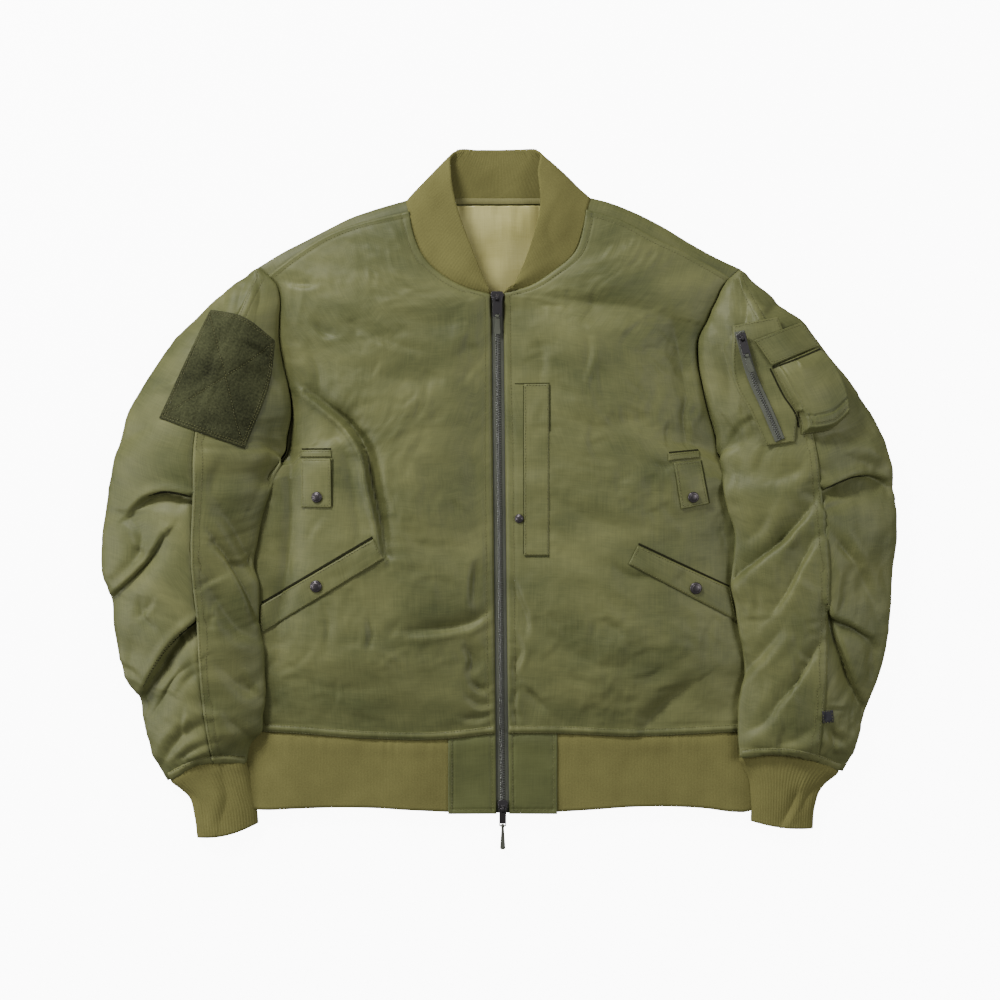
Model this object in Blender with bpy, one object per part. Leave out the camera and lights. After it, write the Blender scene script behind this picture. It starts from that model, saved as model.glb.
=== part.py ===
"""Bomber jacket, laid flat on its back: the pieces a maker would cut and sew, as solids.

The file's own units are millimetres, turned to metres where a mesh is made. +Z is up, the
collar lies towards +Y and the hem towards -Y. Left and right are the wearer's, so the
right front is on -X. Every cloth piece is a wall: its outer face is worked out from the
tables below, and a Solidify modifier gives it its thickness inwards. Tables of the two
sides measure their first column outwards from the middle of the jacket.
"""
import math
from collections import namedtuple

import bmesh
import bpy
import numpy as np
from mathutils import Matrix, Vector
from mathutils.bvhtree import BVHTree

MM = 0.001
GAP = 0.5                 # half the space that two pieces keep at a seam
NYLON_WALL = 2.4          # shell, wadding and lining together
RIB_WALL = 3.0
TAPE_WALL = 1.2
LINING_WALL = 2.0
LAY = 0.8                 # first try of the space between a panel and what is sewn on it
LEAST_SPACE = 0.55        # space that a sewn-on piece keeps to the facets below it

ZIP_TOP_Y = 224.0
ZIP_FOOT_Y = -339.0
ZIP_TOP_X = -3.0
ZIP_FOOT_X = 3.0
ZIP_HALF_GAP = 6.9        # from the middle of the teeth to a front's edge
CHAIN_HALF = 2.5
HEM_HEIGHT = 12.0         # the flattened hem rib, both layers and the air between them
BACK_NECK_Y = 328.0
BACK_HEM_Y = -252.0
HEM_TAB_FOOT_Y = -340.0
HEM_FOOT = ((0, -339), (60, -338), (160, -333), (262, -335))   # the hem's foot in front: out, y
CENTRE = (-1.0, 0.74)     # middle of the laid jacket's box in the tables' coordinates

SIGN = {"right": -1.0, "left": 1.0}

# Height of the zip along its length: y, z
ZIP_RISE = ((-339, 8.0), (-300, 9.5), (-252, 11.5), (-180, 19.0), (-60, 23.0), (120, 24.0), (224, 24.5))

# Edges of each front's outer face, and the shoulder's outline: out, y, z
NECK = {
    "right": ((9.9, 222, 25), (36, 229, 25), (58, 240, 24.5), (82, 262, 22.5), (95, 293, 19.5),
              (98, 312, 17)),
    "left": ((3.9, 223, 25), (34, 232, 25), (56, 246, 24.5), (81, 268, 22.5), (91, 300, 19), (93, 314, 17)),
}
SHOULDER_SEAM = {
    "right": ((98, 312, 17), (130, 305, 17), (154, 299, 16), (184, 288, 15.5), (220, 266, 14),
              (249, 244, 12)),
    "left": ((93, 314, 17), (130, 303, 17), (170, 282, 16), (190, 273, 15.5), (224, 255, 14), (247, 242, 12)),
}
SHOULDER_FOLD = {
    "right": ((98, 326, 6), (142, 313, 6), (164, 305, 6), (182, 296, 6), (215, 279, 5.5), (233, 270, 5),
              (259.5, 254, 5)),
    "left": ((93, 329, 6), (120, 322, 6), (143, 313, 6), (177, 296, 6), (205, 279, 5.5), (238, 261, 5),
             (257.5, 252, 5)),
}
# The body's side edge, hidden under the sleeves, and the underarm: out, y, z
UNDERARM = {"right": (285, 11, 5.6), "left": (285, 12, 5.6)}
SIDE = {
    "right": ((262, -340, 7), (263, -251, 7.5), (275, -200, 6), (284, -110, 5.6), (286, -40, 5.6),
              (285, 11, 5.6)),
    "left": ((268, -340, 7), (269, -251, 7.5), (279, -200, 6), (285, -110, 5.6), (286, -40, 5.6),
             (285, 12, 5.6)),
}
ARMHOLE_RISE = ((12, 5.6), (28, 7.2), (45, 9.3), (70, 10.8), (98, 12.2), (150, 13), (216, 13), (250, 12))
HEM_SEAM = {
    "right": ((4.6, -253, 12), (60, -259, 12.5), (150, -258, 13.2), (220, -253, 12), (263, -251, 7.5)),
    "left": ((9.3, -253, 12), (60, -253, 12.5), (150, -256, 13.2), (220, -253, 12), (269, -251, 7.5)),
}
# How far a front stands above the sheet stretched between its four edges: share of its length, mm
FRONT_SWELL = ((0, 0), (0.1, 13), (0.3, 19), (0.6, 18), (0.85, 11), (1, 0))

# Sections of the sleeves from the shoulder tip to the cuff: outer edge, inner edge, height
Ring = namedtuple("Ring", "outer_out outer_y inner_out inner_y high seam_out", defaults=(None,))
SLEEVE = {
    "right": (
        Ring(271, 247, 261.5, 252, 10), Ring(275, 243, 251, 243, 14), Ring(290, 232, 242, 233, 21),
        Ring(309, 216, 238, 217, 29), Ring(331, 194, 239, 195, 37), Ring(352, 173, 239, 173, 42),
        Ring(370, 148, 235, 148, 45), Ring(387, 122, 229, 122, 47), Ring(400, 97, 226, 97, 48),
        Ring(410, 66, 230, 70, 49), Ring(417, 42, 237, 44, 50), Ring(420, 27, 242, 27, 49, 262),
        Ring(423, 10, 248, 9, 48),
        Ring(427, -12, 256, -16, 49), Ring(431, -45, 262, -46, 50), Ring(431, -76, 266, -70, 50),
        Ring(424, -98, 260, -92, 48), Ring(420, -110, 260, -114, 46), Ring(418, -136, 260, -134, 46),
        Ring(412, -168, 255, -158, 46), Ring(403, -197, 254, -186, 44), Ring(390, -215, 253, -208, 40),
        Ring(387, -236, 256, -230, 38), Ring(380, -261, 257, -250, 35), Ring(372, -283, 270, -265, 31),
        Ring(360, -304, 275, -286, 22),
    ),
    "left": (
        Ring(268, 245, 259.5, 250, 10), Ring(273, 238, 249, 241, 14), Ring(288, 225, 242, 232, 21),
        Ring(306, 208, 234, 215, 29), Ring(329, 191, 224, 194, 37), Ring(348, 167, 215, 174, 42),
        Ring(364, 146, 215, 148, 45), Ring(381, 124, 219, 125, 47), Ring(398, 98, 225, 98, 48),
        Ring(414, 68, 233, 70, 49), Ring(421, 46, 239, 46, 50), Ring(423, 30, 241, 29, 49, 262),
        Ring(425, 14, 242, 11, 48),
        Ring(428, -6, 246, -10, 49), Ring(429, -38, 253, -34, 50), Ring(425, -68, 252, -62, 50),
        Ring(423, -100, 249, -92, 48), Ring(421, -128, 254, -115, 46), Ring(418, -150, 258, -138, 46),
        Ring(413, -176, 262, -162, 45), Ring(405, -203, 264, -188, 43), Ring(395, -231, 259, -214, 40),
        Ring(387, -257, 257, -238, 37), Ring(380, -278, 257, -260, 32), Ring(371, -294, 259, -278, 22),
    ),
}
OPEN_RINGS = 12           # the first sections are open where the sleeve is sewn to the body
# The seam along the top of each sleeve, between its front and its back piece: y, out
TOP_SEAM = {
    "right": ((-300, 308), (-215, 321), (-132, 326), (-60, 332), (2, 330), (65, 328), (130, 312),
              (200, 282), (250, 262)),
    "left": ((-290, 342), (-215, 350), (-114, 354), (-60, 354), (11, 345), (46, 341), (130, 318),
             (190, 288), (248, 260)),
}
# Pleats let into the sleeves' top seam and the deepest troughs: out, y at both ends, half width, depth
SLEEVE_FOLDS = {
    "right": ((332, 3, 410, -6, 11, 7), (330, -134, 388, -200, 13, 9), (352, -150, 392, -212, 10, 4),
              (268, -100, 300, -60, 12, 4), (300, -262, 350, -286, 9, 4)),
    "left": ((344, 12, 420, 20, 11, 7), (352, -120, 398, -150, 13, 9), (366, -150, 388, -212, 10, 5),
             (262, -86, 318, -36, 13, 5), (345, -160, 322, -190, 10, 3)),
}
FRONT_FOLDS = {
    "right": ((150, 70, 122, -56, 13, 4), (240, 60, 236, -140, 16, 4), (95, -115, 22, -138, 14, 3)),
    "left": ((60, 208, 200, 200, 16, 3), (155, -240, 206, -206, 13, 3), (206, 40, 236, -60, 14, 3)),
}
# Cuffs, from the sleeve to the free end: outer edge, inner edge, height, bow of the ring in plan
CuffRing = namedtuple("CuffRing", "outer_out outer_y inner_out inner_y high bow")
CUFF = {
    "right": (CuffRing(354, -308, 273, -291, 20, 11), CuffRing(339, -320, 269, -312, 18, 4),
              CuffRing(331, -342, 264, -332, 16, 0), CuffRing(328, -366, 262, -350, 14, -5)),
    "left": (CuffRing(368, -297, 269.5, -285, 20, 9), CuffRing(351, -308, 271, -303, 18, 3),
             CuffRing(341, -328, 273, -326, 16, 0), CuffRing(339, -356, 272, -348, 14, -3)),
}
SLEEVE_END_BOW = 10.0

# The collar from the zip round to the middle of the back: neck seam, free edge
CollarRow = namedtuple("CollarRow", "seam_out seam_y seam_z free_out free_y free_z")
COLLAR = {
    "right": (CollarRow(12, 223, 25, 13, 231, 27), CollarRow(36, 230, 25.5, 23, 253, 28),
              CollarRow(58, 241, 25, 32, 276, 28), CollarRow(82, 263, 23, 43, 306, 27),
              CollarRow(94, 292, 20, 50, 331, 24), CollarRow(97.5, 313, 17.5, 53, 352, 19),
              CollarRow(99, 327, 8, 53, 375, 8), CollarRow(90, 329, 0, 47, 379.5, 0),
              CollarRow(46, 329, 0, 24, 380, 0)),
    "left": (CollarRow(6.5, 224, 25, 15, 232, 27), CollarRow(35, 233, 25.5, 26, 256, 28),
             CollarRow(56, 247, 25, 36, 285, 28), CollarRow(80, 269, 23, 43, 316, 26.5),
             CollarRow(90, 299, 20, 43, 335, 24), CollarRow(92.5, 315, 17.5, 41, 356, 19),
             CollarRow(95, 330, 8, 44, 377, 8), CollarRow(87, 329, 0, 40, 380, 0),
             CollarRow(45, 329, 0, 20, 380.5, 0)),
}
COLLAR_SWELL = 3.0

# Colours of the finishes: red, green, blue, roughness, metallic
FINISH = {
    "nylon": (0.155, 0.155, 0.070, 0.5, 0.0), "rib": (0.165, 0.145, 0.055, 0.9, 0.0),
    "satin": (0.390, 0.360, 0.170, 0.4, 0.0), "loop_tape": (0.055, 0.055, 0.024, 0.95, 0.0),
    "zip_tape": (0.070, 0.075, 0.055, 0.8, 0.0), "gunmetal": (0.110, 0.105, 0.105, 0.35, 1.0),
    "label": (0.030, 0.028, 0.033, 0.8, 0.0),
}


def clear_scene():
    for old in list(bpy.data.objects):
        bpy.data.objects.remove(old, do_unlink=True)


def finish(name):
    """The material of one finish, made once."""
    material = bpy.data.materials.get(name)
    if material is None:
        red, green, blue, roughness, metallic = FINISH[name]
        material = bpy.data.materials.new(name)
        material.use_nodes = True
        shader = material.node_tree.nodes["Principled BSDF"]
        shader.inputs["Base Color"].default_value = (red, green, blue, 1.0)
        shader.inputs["Roughness"].default_value = roughness
        shader.inputs["Metallic"].default_value = metallic
    return material


# ---------------------------------------------------------------- curves and grids

def track(points):
    """A smooth curve through the points, as a function of the share of its length."""
    knots = np.asarray(points, float)
    steps = np.linalg.norm(np.diff(knots, axis=0), axis=1)
    at = np.concatenate([[0.0], np.cumsum(steps)]) / steps.sum()
    if len(knots) > 2:
        slopes = np.gradient(knots, at, axis=0)
    else:
        slopes = np.repeat(np.diff(knots, axis=0), 2, axis=0)

    def point(share):
        share = np.clip(np.atleast_1d(np.asarray(share, float)), 0.0, 1.0)
        k = np.clip(np.searchsorted(at, share, side="right") - 1, 0, len(at) - 2)
        span = (at[k + 1] - at[k])[:, None]
        s = (share - at[k])[:, None] / span
        start, end = knots[k], knots[k + 1]
        rise, fall = slopes[k] * span, slopes[k + 1] * span
        return ((2 * s**3 - 3 * s**2 + 1) * start + (s**3 - 2 * s**2 + s) * rise
                + (3 * s**2 - 2 * s**3) * end + (s**3 - s**2) * fall)
    return point


def joined(first, second, meet):
    """Two curves run as one: the first up to the share where they meet."""
    def point(share):
        share = np.atleast_1d(np.asarray(share, float))
        before = first(np.minimum(share / meet, 1.0))
        after = second(np.maximum((share - meet) / (1.0 - meet), 0.0))
        return np.where((share <= meet)[:, None], before, after)
    return point


def read(table, where):
    """A smooth value read from a table of two columns."""
    keys = np.array([row[0] for row in table], float)
    values = np.array([row[1] for row in table], float)
    slopes = np.gradient(values, keys)
    where = np.clip(np.asarray(where, float), keys[0], keys[-1])
    k = np.clip(np.searchsorted(keys, where, side="right") - 1, 0, len(keys) - 2)
    span = keys[k + 1] - keys[k]
    s = (where - keys[k]) / span
    return ((2 * s**3 - 3 * s**2 + 1) * values[k] + (s**3 - 2 * s**2 + s) * slopes[k] * span
            + (3 * s**2 - 2 * s**3) * values[k + 1] + (s**3 - s**2) * slopes[k + 1] * span)


def stretched(hem, top, inner, outer, across, along):
    """The grid stretched between four edges: rows run from the hem to the top."""
    u, v = np.asarray(across, float), np.asarray(along, float)
    low, high, near, far = hem(u), top(u), inner(v), outer(v)
    uu, vv = u[None, :, None], v[:, None, None]
    grid = (1 - vv) * low[None] + vv * high[None] + (1 - uu) * near[:, None] + uu * far[:, None]
    corners = ((1 - uu) * (1 - vv) * low[0] + uu * (1 - vv) * low[-1]
               + (1 - uu) * vv * high[0] + uu * vv * high[-1])
    return grid - corners


def sided(table, side):
    """Turns a side's table into points of the jacket."""
    points = np.asarray(table, float).copy()
    points[:, 0] *= SIGN[side]
    return points


def trough(x, y, folds, sign):
    """How far the folds in a table sink the cloth at a point."""
    depth = np.zeros(np.broadcast(x, y).shape)
    for out_a, y_a, out_b, y_b, half_width, deep in folds:
        ax, bx = sign * out_a, sign * out_b
        length = math.hypot(bx - ax, y_b - y_a)
        dx, dy = (bx - ax) / length, (y_b - y_a) / length
        along = (x - ax) * dx + (y - y_a) * dy
        beyond = np.maximum(np.maximum(-along, along - length), 0.0)
        across = (x - ax) * dy - (y - y_a) * dx
        depth = depth + deep * np.exp(-(across**2 + beyond**2) / half_width**2)
    return depth


def zip_x(y):
    share = (np.asarray(y, float) - ZIP_FOOT_Y) / (ZIP_TOP_Y - ZIP_FOOT_Y)
    return ZIP_FOOT_X + share * (ZIP_TOP_X - ZIP_FOOT_X)


def side_out(side, y):
    """Where the body's side edge lies, measured out from the middle."""
    return float(read([(row[1], row[0]) for row in SIDE[side]], y))


def armhole_points(side):
    """The armhole seam from the underarm up to the shoulder tip, a point for each open ring."""
    rings = SLEEVE[side][OPEN_RINGS - 1::-1]
    rise = [(ring.seam_out or ring.inner_out, ring.inner_y, float(read(ARMHOLE_RISE, ring.inner_y)))
            for ring in rings]
    return sided([UNDERARM[side]] + rise, side)


def shifted(points, distance):
    """A line in plan moved sideways, to the left of the way it runs."""
    run = np.gradient(points[:, :2], axis=0)
    run /= np.linalg.norm(run, axis=1)[:, None]
    moved = points.copy()
    moved[:, 0] -= distance * run[:, 1]
    moved[:, 1] += distance * run[:, 0]
    return moved


def shares_of(points):
    """The share of a line's length at each of its points."""
    steps = np.linalg.norm(np.diff(points, axis=0), axis=1)
    return np.concatenate([[0.0], np.cumsum(steps)]) / steps.sum()


# ---------------------------------------------------------------- meshes

def new_object(name, bm, look):
    mesh = bpy.data.meshes.new(name)
    bm.to_mesh(mesh)
    bm.free()
    mesh.shade_smooth()
    mesh.set_sharp_from_angle(angle=math.radians(50))
    made = bpy.data.objects.new(name, mesh)
    made.data.materials.append(finish(look))
    bpy.context.collection.objects.link(made)
    return made


def to_world(point):
    return Vector(((point[0] - CENTRE[0]) * MM, (point[1] - CENTRE[1]) * MM, point[2] * MM))


def cloth(name, grids, wall, look, closed=False, flip=False):
    """A cloth wall whose outer face is the given grids, sewn where their points meet."""
    bm = bmesh.new()
    for grid in grids:
        verts = [[bm.verts.new(to_world(point)) for point in row] for row in grid]
        count = len(verts[0])
        for lower, upper in zip(verts[:-1], verts[1:]):
            for c in range(count if closed else count - 1):
                d = (c + 1) % count
                ring = (lower[c], lower[d], upper[d], upper[c])
                bm.faces.new(ring[::-1] if flip else ring)
    bmesh.ops.remove_doubles(bm, verts=bm.verts, dist=0.01 * MM)
    made = new_object(name, bm, look)
    thick = made.modifiers.new("wall", "SOLIDIFY")
    thick.thickness = wall * MM
    thick.offset = -1.0
    thick.use_even_offset = False
    return made


class Surface:
    """The outer faces of the pieces already made, to lay other pieces on."""

    def __init__(self, pieces, grids=()):
        verts, faces = [], []
        for grid in grids:
            rows, columns = grid.shape[:2]
            start = len(verts)
            verts += [to_world(point) for point in grid.reshape(-1, 3)]
            faces += [[start + r * columns + c + i for i in (0, 1, columns + 1, columns)]
                      for r in range(rows - 1) for c in range(columns - 1)]
        for piece in pieces:
            start = len(verts)
            verts += [piece.matrix_world @ v.co for v in piece.data.vertices]
            faces += [[start + i for i in polygon.vertices] for polygon in piece.data.polygons]
        self.tree = BVHTree.FromPolygons(verts, faces)

    def height(self, x, y, fallback=0.0):
        start = to_world((x, y, 200.0))
        hit = self.tree.ray_cast(start, Vector((0, 0, -1)))
        return fallback if hit[0] is None else hit[0].z / MM

    def point(self, x, y, lift, reach=7.0):
        """The point above (x, y), moved out along the surface's own direction there."""
        z = self.height(x, y)
        slope_x = (self.height(x + reach, y, z) - self.height(x - reach, y, z)) / (2 * reach)
        slope_y = (self.height(x, y + reach, z) - self.height(x, y - reach, z)) / (2 * reach)
        out = Vector((-slope_x, -slope_y, 1.0)).normalized()
        return np.array([x + out.x * lift, y + out.y * lift, z + out.z * lift]), out


def laid(name, under, edges, rows, columns, wall, look, lift=LAY):
    """A patch sewn on other pieces: its four edges are given in plan, from above.

    It is raised until the facets of its underside clear those of what it lies on.
    """
    low, high, near, far = edges
    flat = stretched(low, high, near, far, np.linspace(0, 1, columns + 1), np.linspace(0, 1, rows + 1))
    for _ in range(12):
        lower = np.array([[under.point(p[0], p[1], lift)[0] for p in row] for row in flat])
        corners = lower[:-1, :-1], lower[:-1, 1:], lower[1:, :-1], lower[1:, 1:]
        spots = []
        for a in (0.1, 0.3, 0.5, 0.7, 0.9):
            for b in (0.1, 0.3, 0.5, 0.7, 0.9):
                shares = (1 - a) * (1 - b), (1 - a) * b, a * (1 - b), a * b
                spots += list(sum(s * c for s, c in zip(shares, corners)).reshape(-1, 3))
        space = min(p[2] - under.height(p[0], p[1], -9.0) for p in spots)
        if space > LEAST_SPACE:
            break
        lift += LEAST_SPACE / 2
    grid = [[under.point(p[0], p[1], lift + wall)[0] for p in row] for row in flat]
    first, second, third = (np.array(flat[i][j][:2]) for i, j in ((0, 0), (0, -1), (-1, 0)))
    turn = (second[0] - first[0]) * (third[1] - first[1]) - (second[1] - first[1]) * (third[0] - first[0])
    return cloth(name, [grid], wall, look, flip=turn < 0)


def straight_edges(corners):
    """The edges of a four-cornered patch: low start, low end, high end, high start."""
    a, b, c, d = (tuple(map(float, corner)) for corner in corners)
    return track([a, b]), track([d, c]), track([a, d]), track([b, c])


def frame_at(under, x, y, along, lift):
    """A placing on the cloth: its Y runs the way `along` points, its Z out of the cloth."""
    spot, out = under.point(x, y, lift)
    forward = Vector((along[0], along[1], 0.0))
    forward = (forward - out * forward.dot(out)).normalized()
    across = forward.cross(out).normalized()
    turned = Matrix((across, forward, out)).transposed().to_4x4()
    return Matrix.Translation(to_world(spot)) @ turned


def snap(name, under, x, y, radius, lift=0.4):
    """A snap's cap: a low dome pressed from sheet metal."""
    bm = bmesh.new()
    profile = ((0.0, 2.6), (0.55 * radius, 2.5), (0.86 * radius, 1.9), (radius, 1.0), (radius, 0.0),
               (0.0, 0.0))
    verts = [bm.verts.new((r * MM, 0, z * MM)) for r, z in profile]
    edges = [bm.edges.new(pair) for pair in zip(verts[:-1], verts[1:])]
    bmesh.ops.spin(bm, geom=verts + edges, axis=(0, 0, 1), cent=(0, 0, 0), angle=2 * math.pi, steps=12)
    bmesh.ops.remove_doubles(bm, verts=bm.verts, dist=0.001 * MM)
    bmesh.ops.recalc_face_normals(bm, faces=bm.faces)
    made = new_object(name, bm, "gunmetal")
    made.matrix_world = frame_at(under, x, y, (0, 1), lift)
    return made


# ---------------------------------------------------------------- body

ACROSS_FRONT = (0, 0.06, 0.17, 0.3, 0.44, 0.58, 0.72, 0.86, 0.95, 1)
ALONG_SIDE = (0, 0.05, 0.13, 0.22, 0.31, 0.4)
UNDERARM_SHARE = 0.5      # share of a panel's outer edge that is side, below the armhole
NECK_RING = 5             # the point of the armhole level with the top of the zip


def make_front(side):
    """One front: zip and neck on its inner edge, side and armhole on its outer edge."""
    sign = SIGN[side]
    hem = sided(HEM_SEAM[side], side)
    hem[:, 1] += GAP
    heights = np.linspace(hem[0, 1], NECK[side][0][1], 12)
    zip_edge = [(zip_x(y) + sign * ZIP_HALF_GAP, y, read(ZIP_RISE, y) + 0.6) for y in heights]
    hem[0] = zip_edge[0]
    neck = sided(NECK[side], side)
    neck[0] = zip_edge[-1]
    armhole = shifted(armhole_points(side)[:-1], sign * GAP)
    body_side = sided(SIDE[side][1:], side)
    body_side[0], body_side[-1] = hem[-1], armhole[0]
    shoulder = sided(SHOULDER_SEAM[side], side)
    shoulder[:, 1] -= 2 * GAP
    shoulder[0], shoulder[-1] = neck[-1], armhole[-1]
    armhole_rows = UNDERARM_SHARE + (1 - UNDERARM_SHARE) * shares_of(armhole)
    along = np.concatenate([ALONG_SIDE, armhole_rows])
    inner = joined(track(zip_edge), track(neck), armhole_rows[NECK_RING])
    outer = joined(track(body_side), track(armhole), UNDERARM_SHARE)
    grid = stretched(track(hem), track(shoulder), inner, outer, ACROSS_FRONT, along)
    u, v = np.meshgrid(ACROSS_FRONT, along)
    grid[:, :, 2] += np.sin(np.pi * u)**0.8 * read(FRONT_SWELL, v)
    inside = (u > 0) & (u < 1) & (v > 0) & (v < 1)
    grid[:, :, 2] -= np.where(inside, trough(grid[:, :, 0], grid[:, :, 1], FRONT_FOLDS[side], sign), 0.0)
    return cloth("front_" + side, [grid], NYLON_WALL, "nylon", flip=sign < 0)


NECK_SHARE = 0.36         # share of the back's top edge that is neck, from the middle out
SHOULDER_ROOM = 2.2       # what the two walls need where they meet at the shoulder seam
SHOULDER_TUCK = 7.0       # from the shoulder's fold in to where the back lies on the floor


def shoulder_rows(side):
    """The back's turn over the shoulder: floor line, fold, top of the fold and front seam."""
    sign = SIGN[side]
    shares = np.linspace(0, 1, 6)
    fold = track(sided(SHOULDER_FOLD[side], side))(shares)
    seam = track(sided(SHOULDER_SEAM[side], side))(shares)
    inward = seam - fold
    inward[:, 2] = 0
    inward /= np.linalg.norm(inward, axis=1)[:, None]
    floor = fold + inward * SHOULDER_TUCK
    floor[:, 2] = 0
    seam -= inward * SHOULDER_ROOM
    crest = fold + inward * 5.0
    crest[:, 2] = 0.72 * seam[:, 2]
    return np.stack([floor, fold, crest, seam])


def make_back():
    """The back lies on the floor and turns over both shoulders to the seams in front."""
    across = np.concatenate([np.linspace(0, NECK_SHARE, 3), np.linspace(NECK_SHARE, 1, 6)[1:]])
    halves, turns = {}, []
    for side in ("right", "left"):
        sign = SIGN[side]
        turn = shoulder_rows(side)
        floor_line = turn[0]
        neck = track([(0, BACK_NECK_Y, 0), (floor_line[0, 0] * 0.5, BACK_NECK_Y, 0), tuple(floor_line[0])])
        top = joined(neck, track(floor_line), NECK_SHARE)
        armhole = shifted(armhole_points(side), sign * GAP)
        armhole[:, 2] = 0
        armhole[-1] = floor_line[-1]
        body_side = sided(SIDE[side][1:], side)
        body_side[:, 2] = 0
        body_side[0, 1] = BACK_HEM_Y + GAP
        body_side[-1] = armhole[0]
        outer = joined(track(body_side), track(armhole), UNDERARM_SHARE)
        along = np.concatenate([(0, 0.12, 0.3), UNDERARM_SHARE + (1 - UNDERARM_SHARE) * shares_of(armhole)])
        middle = track([(0, BACK_HEM_Y + GAP, 0), (0, BACK_NECK_Y, 0)])
        hem = track([(0, BACK_HEM_Y + GAP, 0), tuple(body_side[0])])
        halves[side] = stretched(hem, top, middle, outer, across, along)
        turns.append(turn if sign < 0 else turn[:, ::-1])
    whole = np.concatenate([halves["right"][:, ::-1], halves["left"][:, 1:]], axis=1)
    turns[0] = turns[0][:, ::-1]
    turns[1] = turns[1][:, ::-1]
    turns[0][0] = whole[-1, :6]
    turns[1][0] = whole[-1, -6:]
    return cloth("back_panel", [whole, turns[0], turns[1]], NYLON_WALL, "nylon", flip=True)


def make_lining():
    """The part of the back lining that shows in the open neck, and the tape above it."""
    rows, columns = 5, 8
    grid = np.zeros((rows + 1, columns + 1, 3))
    for r in range(rows + 1):
        y = 206 + (319 - 206) * r / rows
        half = 26 + 52 * r / rows
        for c in range(columns + 1):
            x = half * (2 * c / columns - 1)
            wave = 0.5 * math.sin(3 * r + 1.3 * c) + 0.5
            grid[r, c] = (x, y, NYLON_WALL + 0.6 + LINING_WALL + wave)
    cloth("lining_back", [grid], LINING_WALL, "satin")
    tape = np.zeros((2, 13, 3))
    for c in range(13):
        x = 76 * (c / 6 - 1)
        for r, y in enumerate((320.6, 327.2)):
            tape[r, c] = (x, y, NYLON_WALL + 0.6 + LINING_WALL + 0.4 * (c % 2))
    cloth("neck_tape", [tape], LINING_WALL, "satin")


def make_collar():
    """The ribbed collar, a band between the neck seam and its free edge, folded at the sides."""
    middle = CollarRow(0, 329, 0, 0, 380, 0)
    stations = [(row, -1.0) for row in COLLAR["right"]] + [(middle, 1.0)]
    stations += [(row, 1.0) for row in reversed(COLLAR["left"])]
    shares = (0, 0.25, 0.5, 0.75, 1)
    grid = np.zeros((len(stations), len(shares), 3))
    for r, (row, sign) in enumerate(stations):
        seam = np.array([sign * row.seam_out, row.seam_y, row.seam_z], float)
        free = np.array([sign * row.free_out, row.free_y, row.free_z], float)
        start = seam + 1.2 * (free - seam) / np.linalg.norm(free - seam)
        standing = 0.0 if row.seam_z == 0 else 1.0
        for c, share in enumerate(shares):
            point = start + share * (free - start)
            point[2] += standing * COLLAR_SWELL * math.sin(math.pi * share)
            grid[r, c] = point
    return cloth("collar", [grid], RIB_WALL, "rib")


# ---------------------------------------------------------------- hem

def make_hem():
    """The hem rib, one band from tab to tab round the back, and the two woven tabs."""
    fold = ((-5.5, 0.97), (-1, 0.75), (0, 0.5), (-1, 0.25), (-5.5, 0.0))
    ends = {side: SIDE[side][0][0] for side in ("right", "left")}
    path = [("left", out, 1.0) for out in (63, 100, 140, 180, 222)]
    path += [("left", ends["left"] + out, high) for out, high in fold]
    path += [("left", out, 0.0) for out in (200, 100)] + [("right", out, 0.0) for out in (0, 100, 200)]
    path += [("right", ends["right"] + out, high) for out, high in reversed(fold)]
    path += [("right", out, 1.0) for out in (222, 180, 140, 100, 57)]
    grid = []
    for share in (0, 0.3, 0.65, 1):
        row = []
        for side, out, high in path:
            seam = sided(HEM_SEAM[side], side)
            top_y = float(read([(abs(p[0]), p[1]) for p in seam], out)) if high > 0 else BACK_HEM_Y
            foot_y = -334.0 if high < 1 else float(read(HEM_FOOT, out))
            y = top_y - 2 * GAP + share * (foot_y - top_y + 2 * GAP)
            level = HEM_HEIGHT + 0.6 - 1.4 * share
            row.append((SIGN[side] * out, y, high * level))
        grid.append(row)
    rib = cloth("hem_rib", [np.array(grid)], RIB_WALL, "rib", flip=True)
    for side, outer in (("right", 56), ("left", 62)):
        sign = SIGN[side]
        rows = []
        for share in (0, 0.3, 0.65, 1):
            row = []
            for k in range(5):
                start = abs(zip_x(-254.0 - 86.0 * share) + sign * ZIP_HALF_GAP)
                out = start + k * (outer - start) / 4
                top_y = float(read([(p[0], p[1]) for p in HEM_SEAM[side]], out)) - 2 * GAP
                y = top_y + share * (HEM_TAB_FOOT_Y - top_y)
                row.append((sign * out, y, HEM_HEIGHT + 0.6 - 3.4 * share))
            rows.append(row)
        cloth("hem_tab_" + side, [np.array(rows)], NYLON_WALL, "nylon", flip=sign > 0)
    return rib


# ---------------------------------------------------------------- sleeves and cuffs

OPEN_SHARES = (0, 0.03, 0.07, 0.12, 0.18)     # first columns of a section that is open at the armhole
UNDER_FOLD_RING = 10      # here the sleeve's inner fold starts to hang over the seam
SIDE_CLEAR = 4.0          # from the body's side edge out to the underarm seam
SEAM_ROOM = 5.5           # what the front piece's turned-up edge needs beside the back piece
OVER_BODY = 2.8           # space between the sleeve's underside and the body it lies on


def arch(ring, sign, start, share):
    """The sleeve's upper side at a share of its width, from its start to the outer edge."""
    edge_z = 0.34 * ring.high
    x = start[0] + share * (sign * ring.outer_out - start[0])
    y = start[1] + share * (ring.outer_y - start[1])
    chord = start[2] + share * (edge_z - start[2])
    return [x, y, chord + (ring.high - 0.5 * (start[2] + edge_z)) * math.sin(math.pi * share)**0.72]


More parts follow.
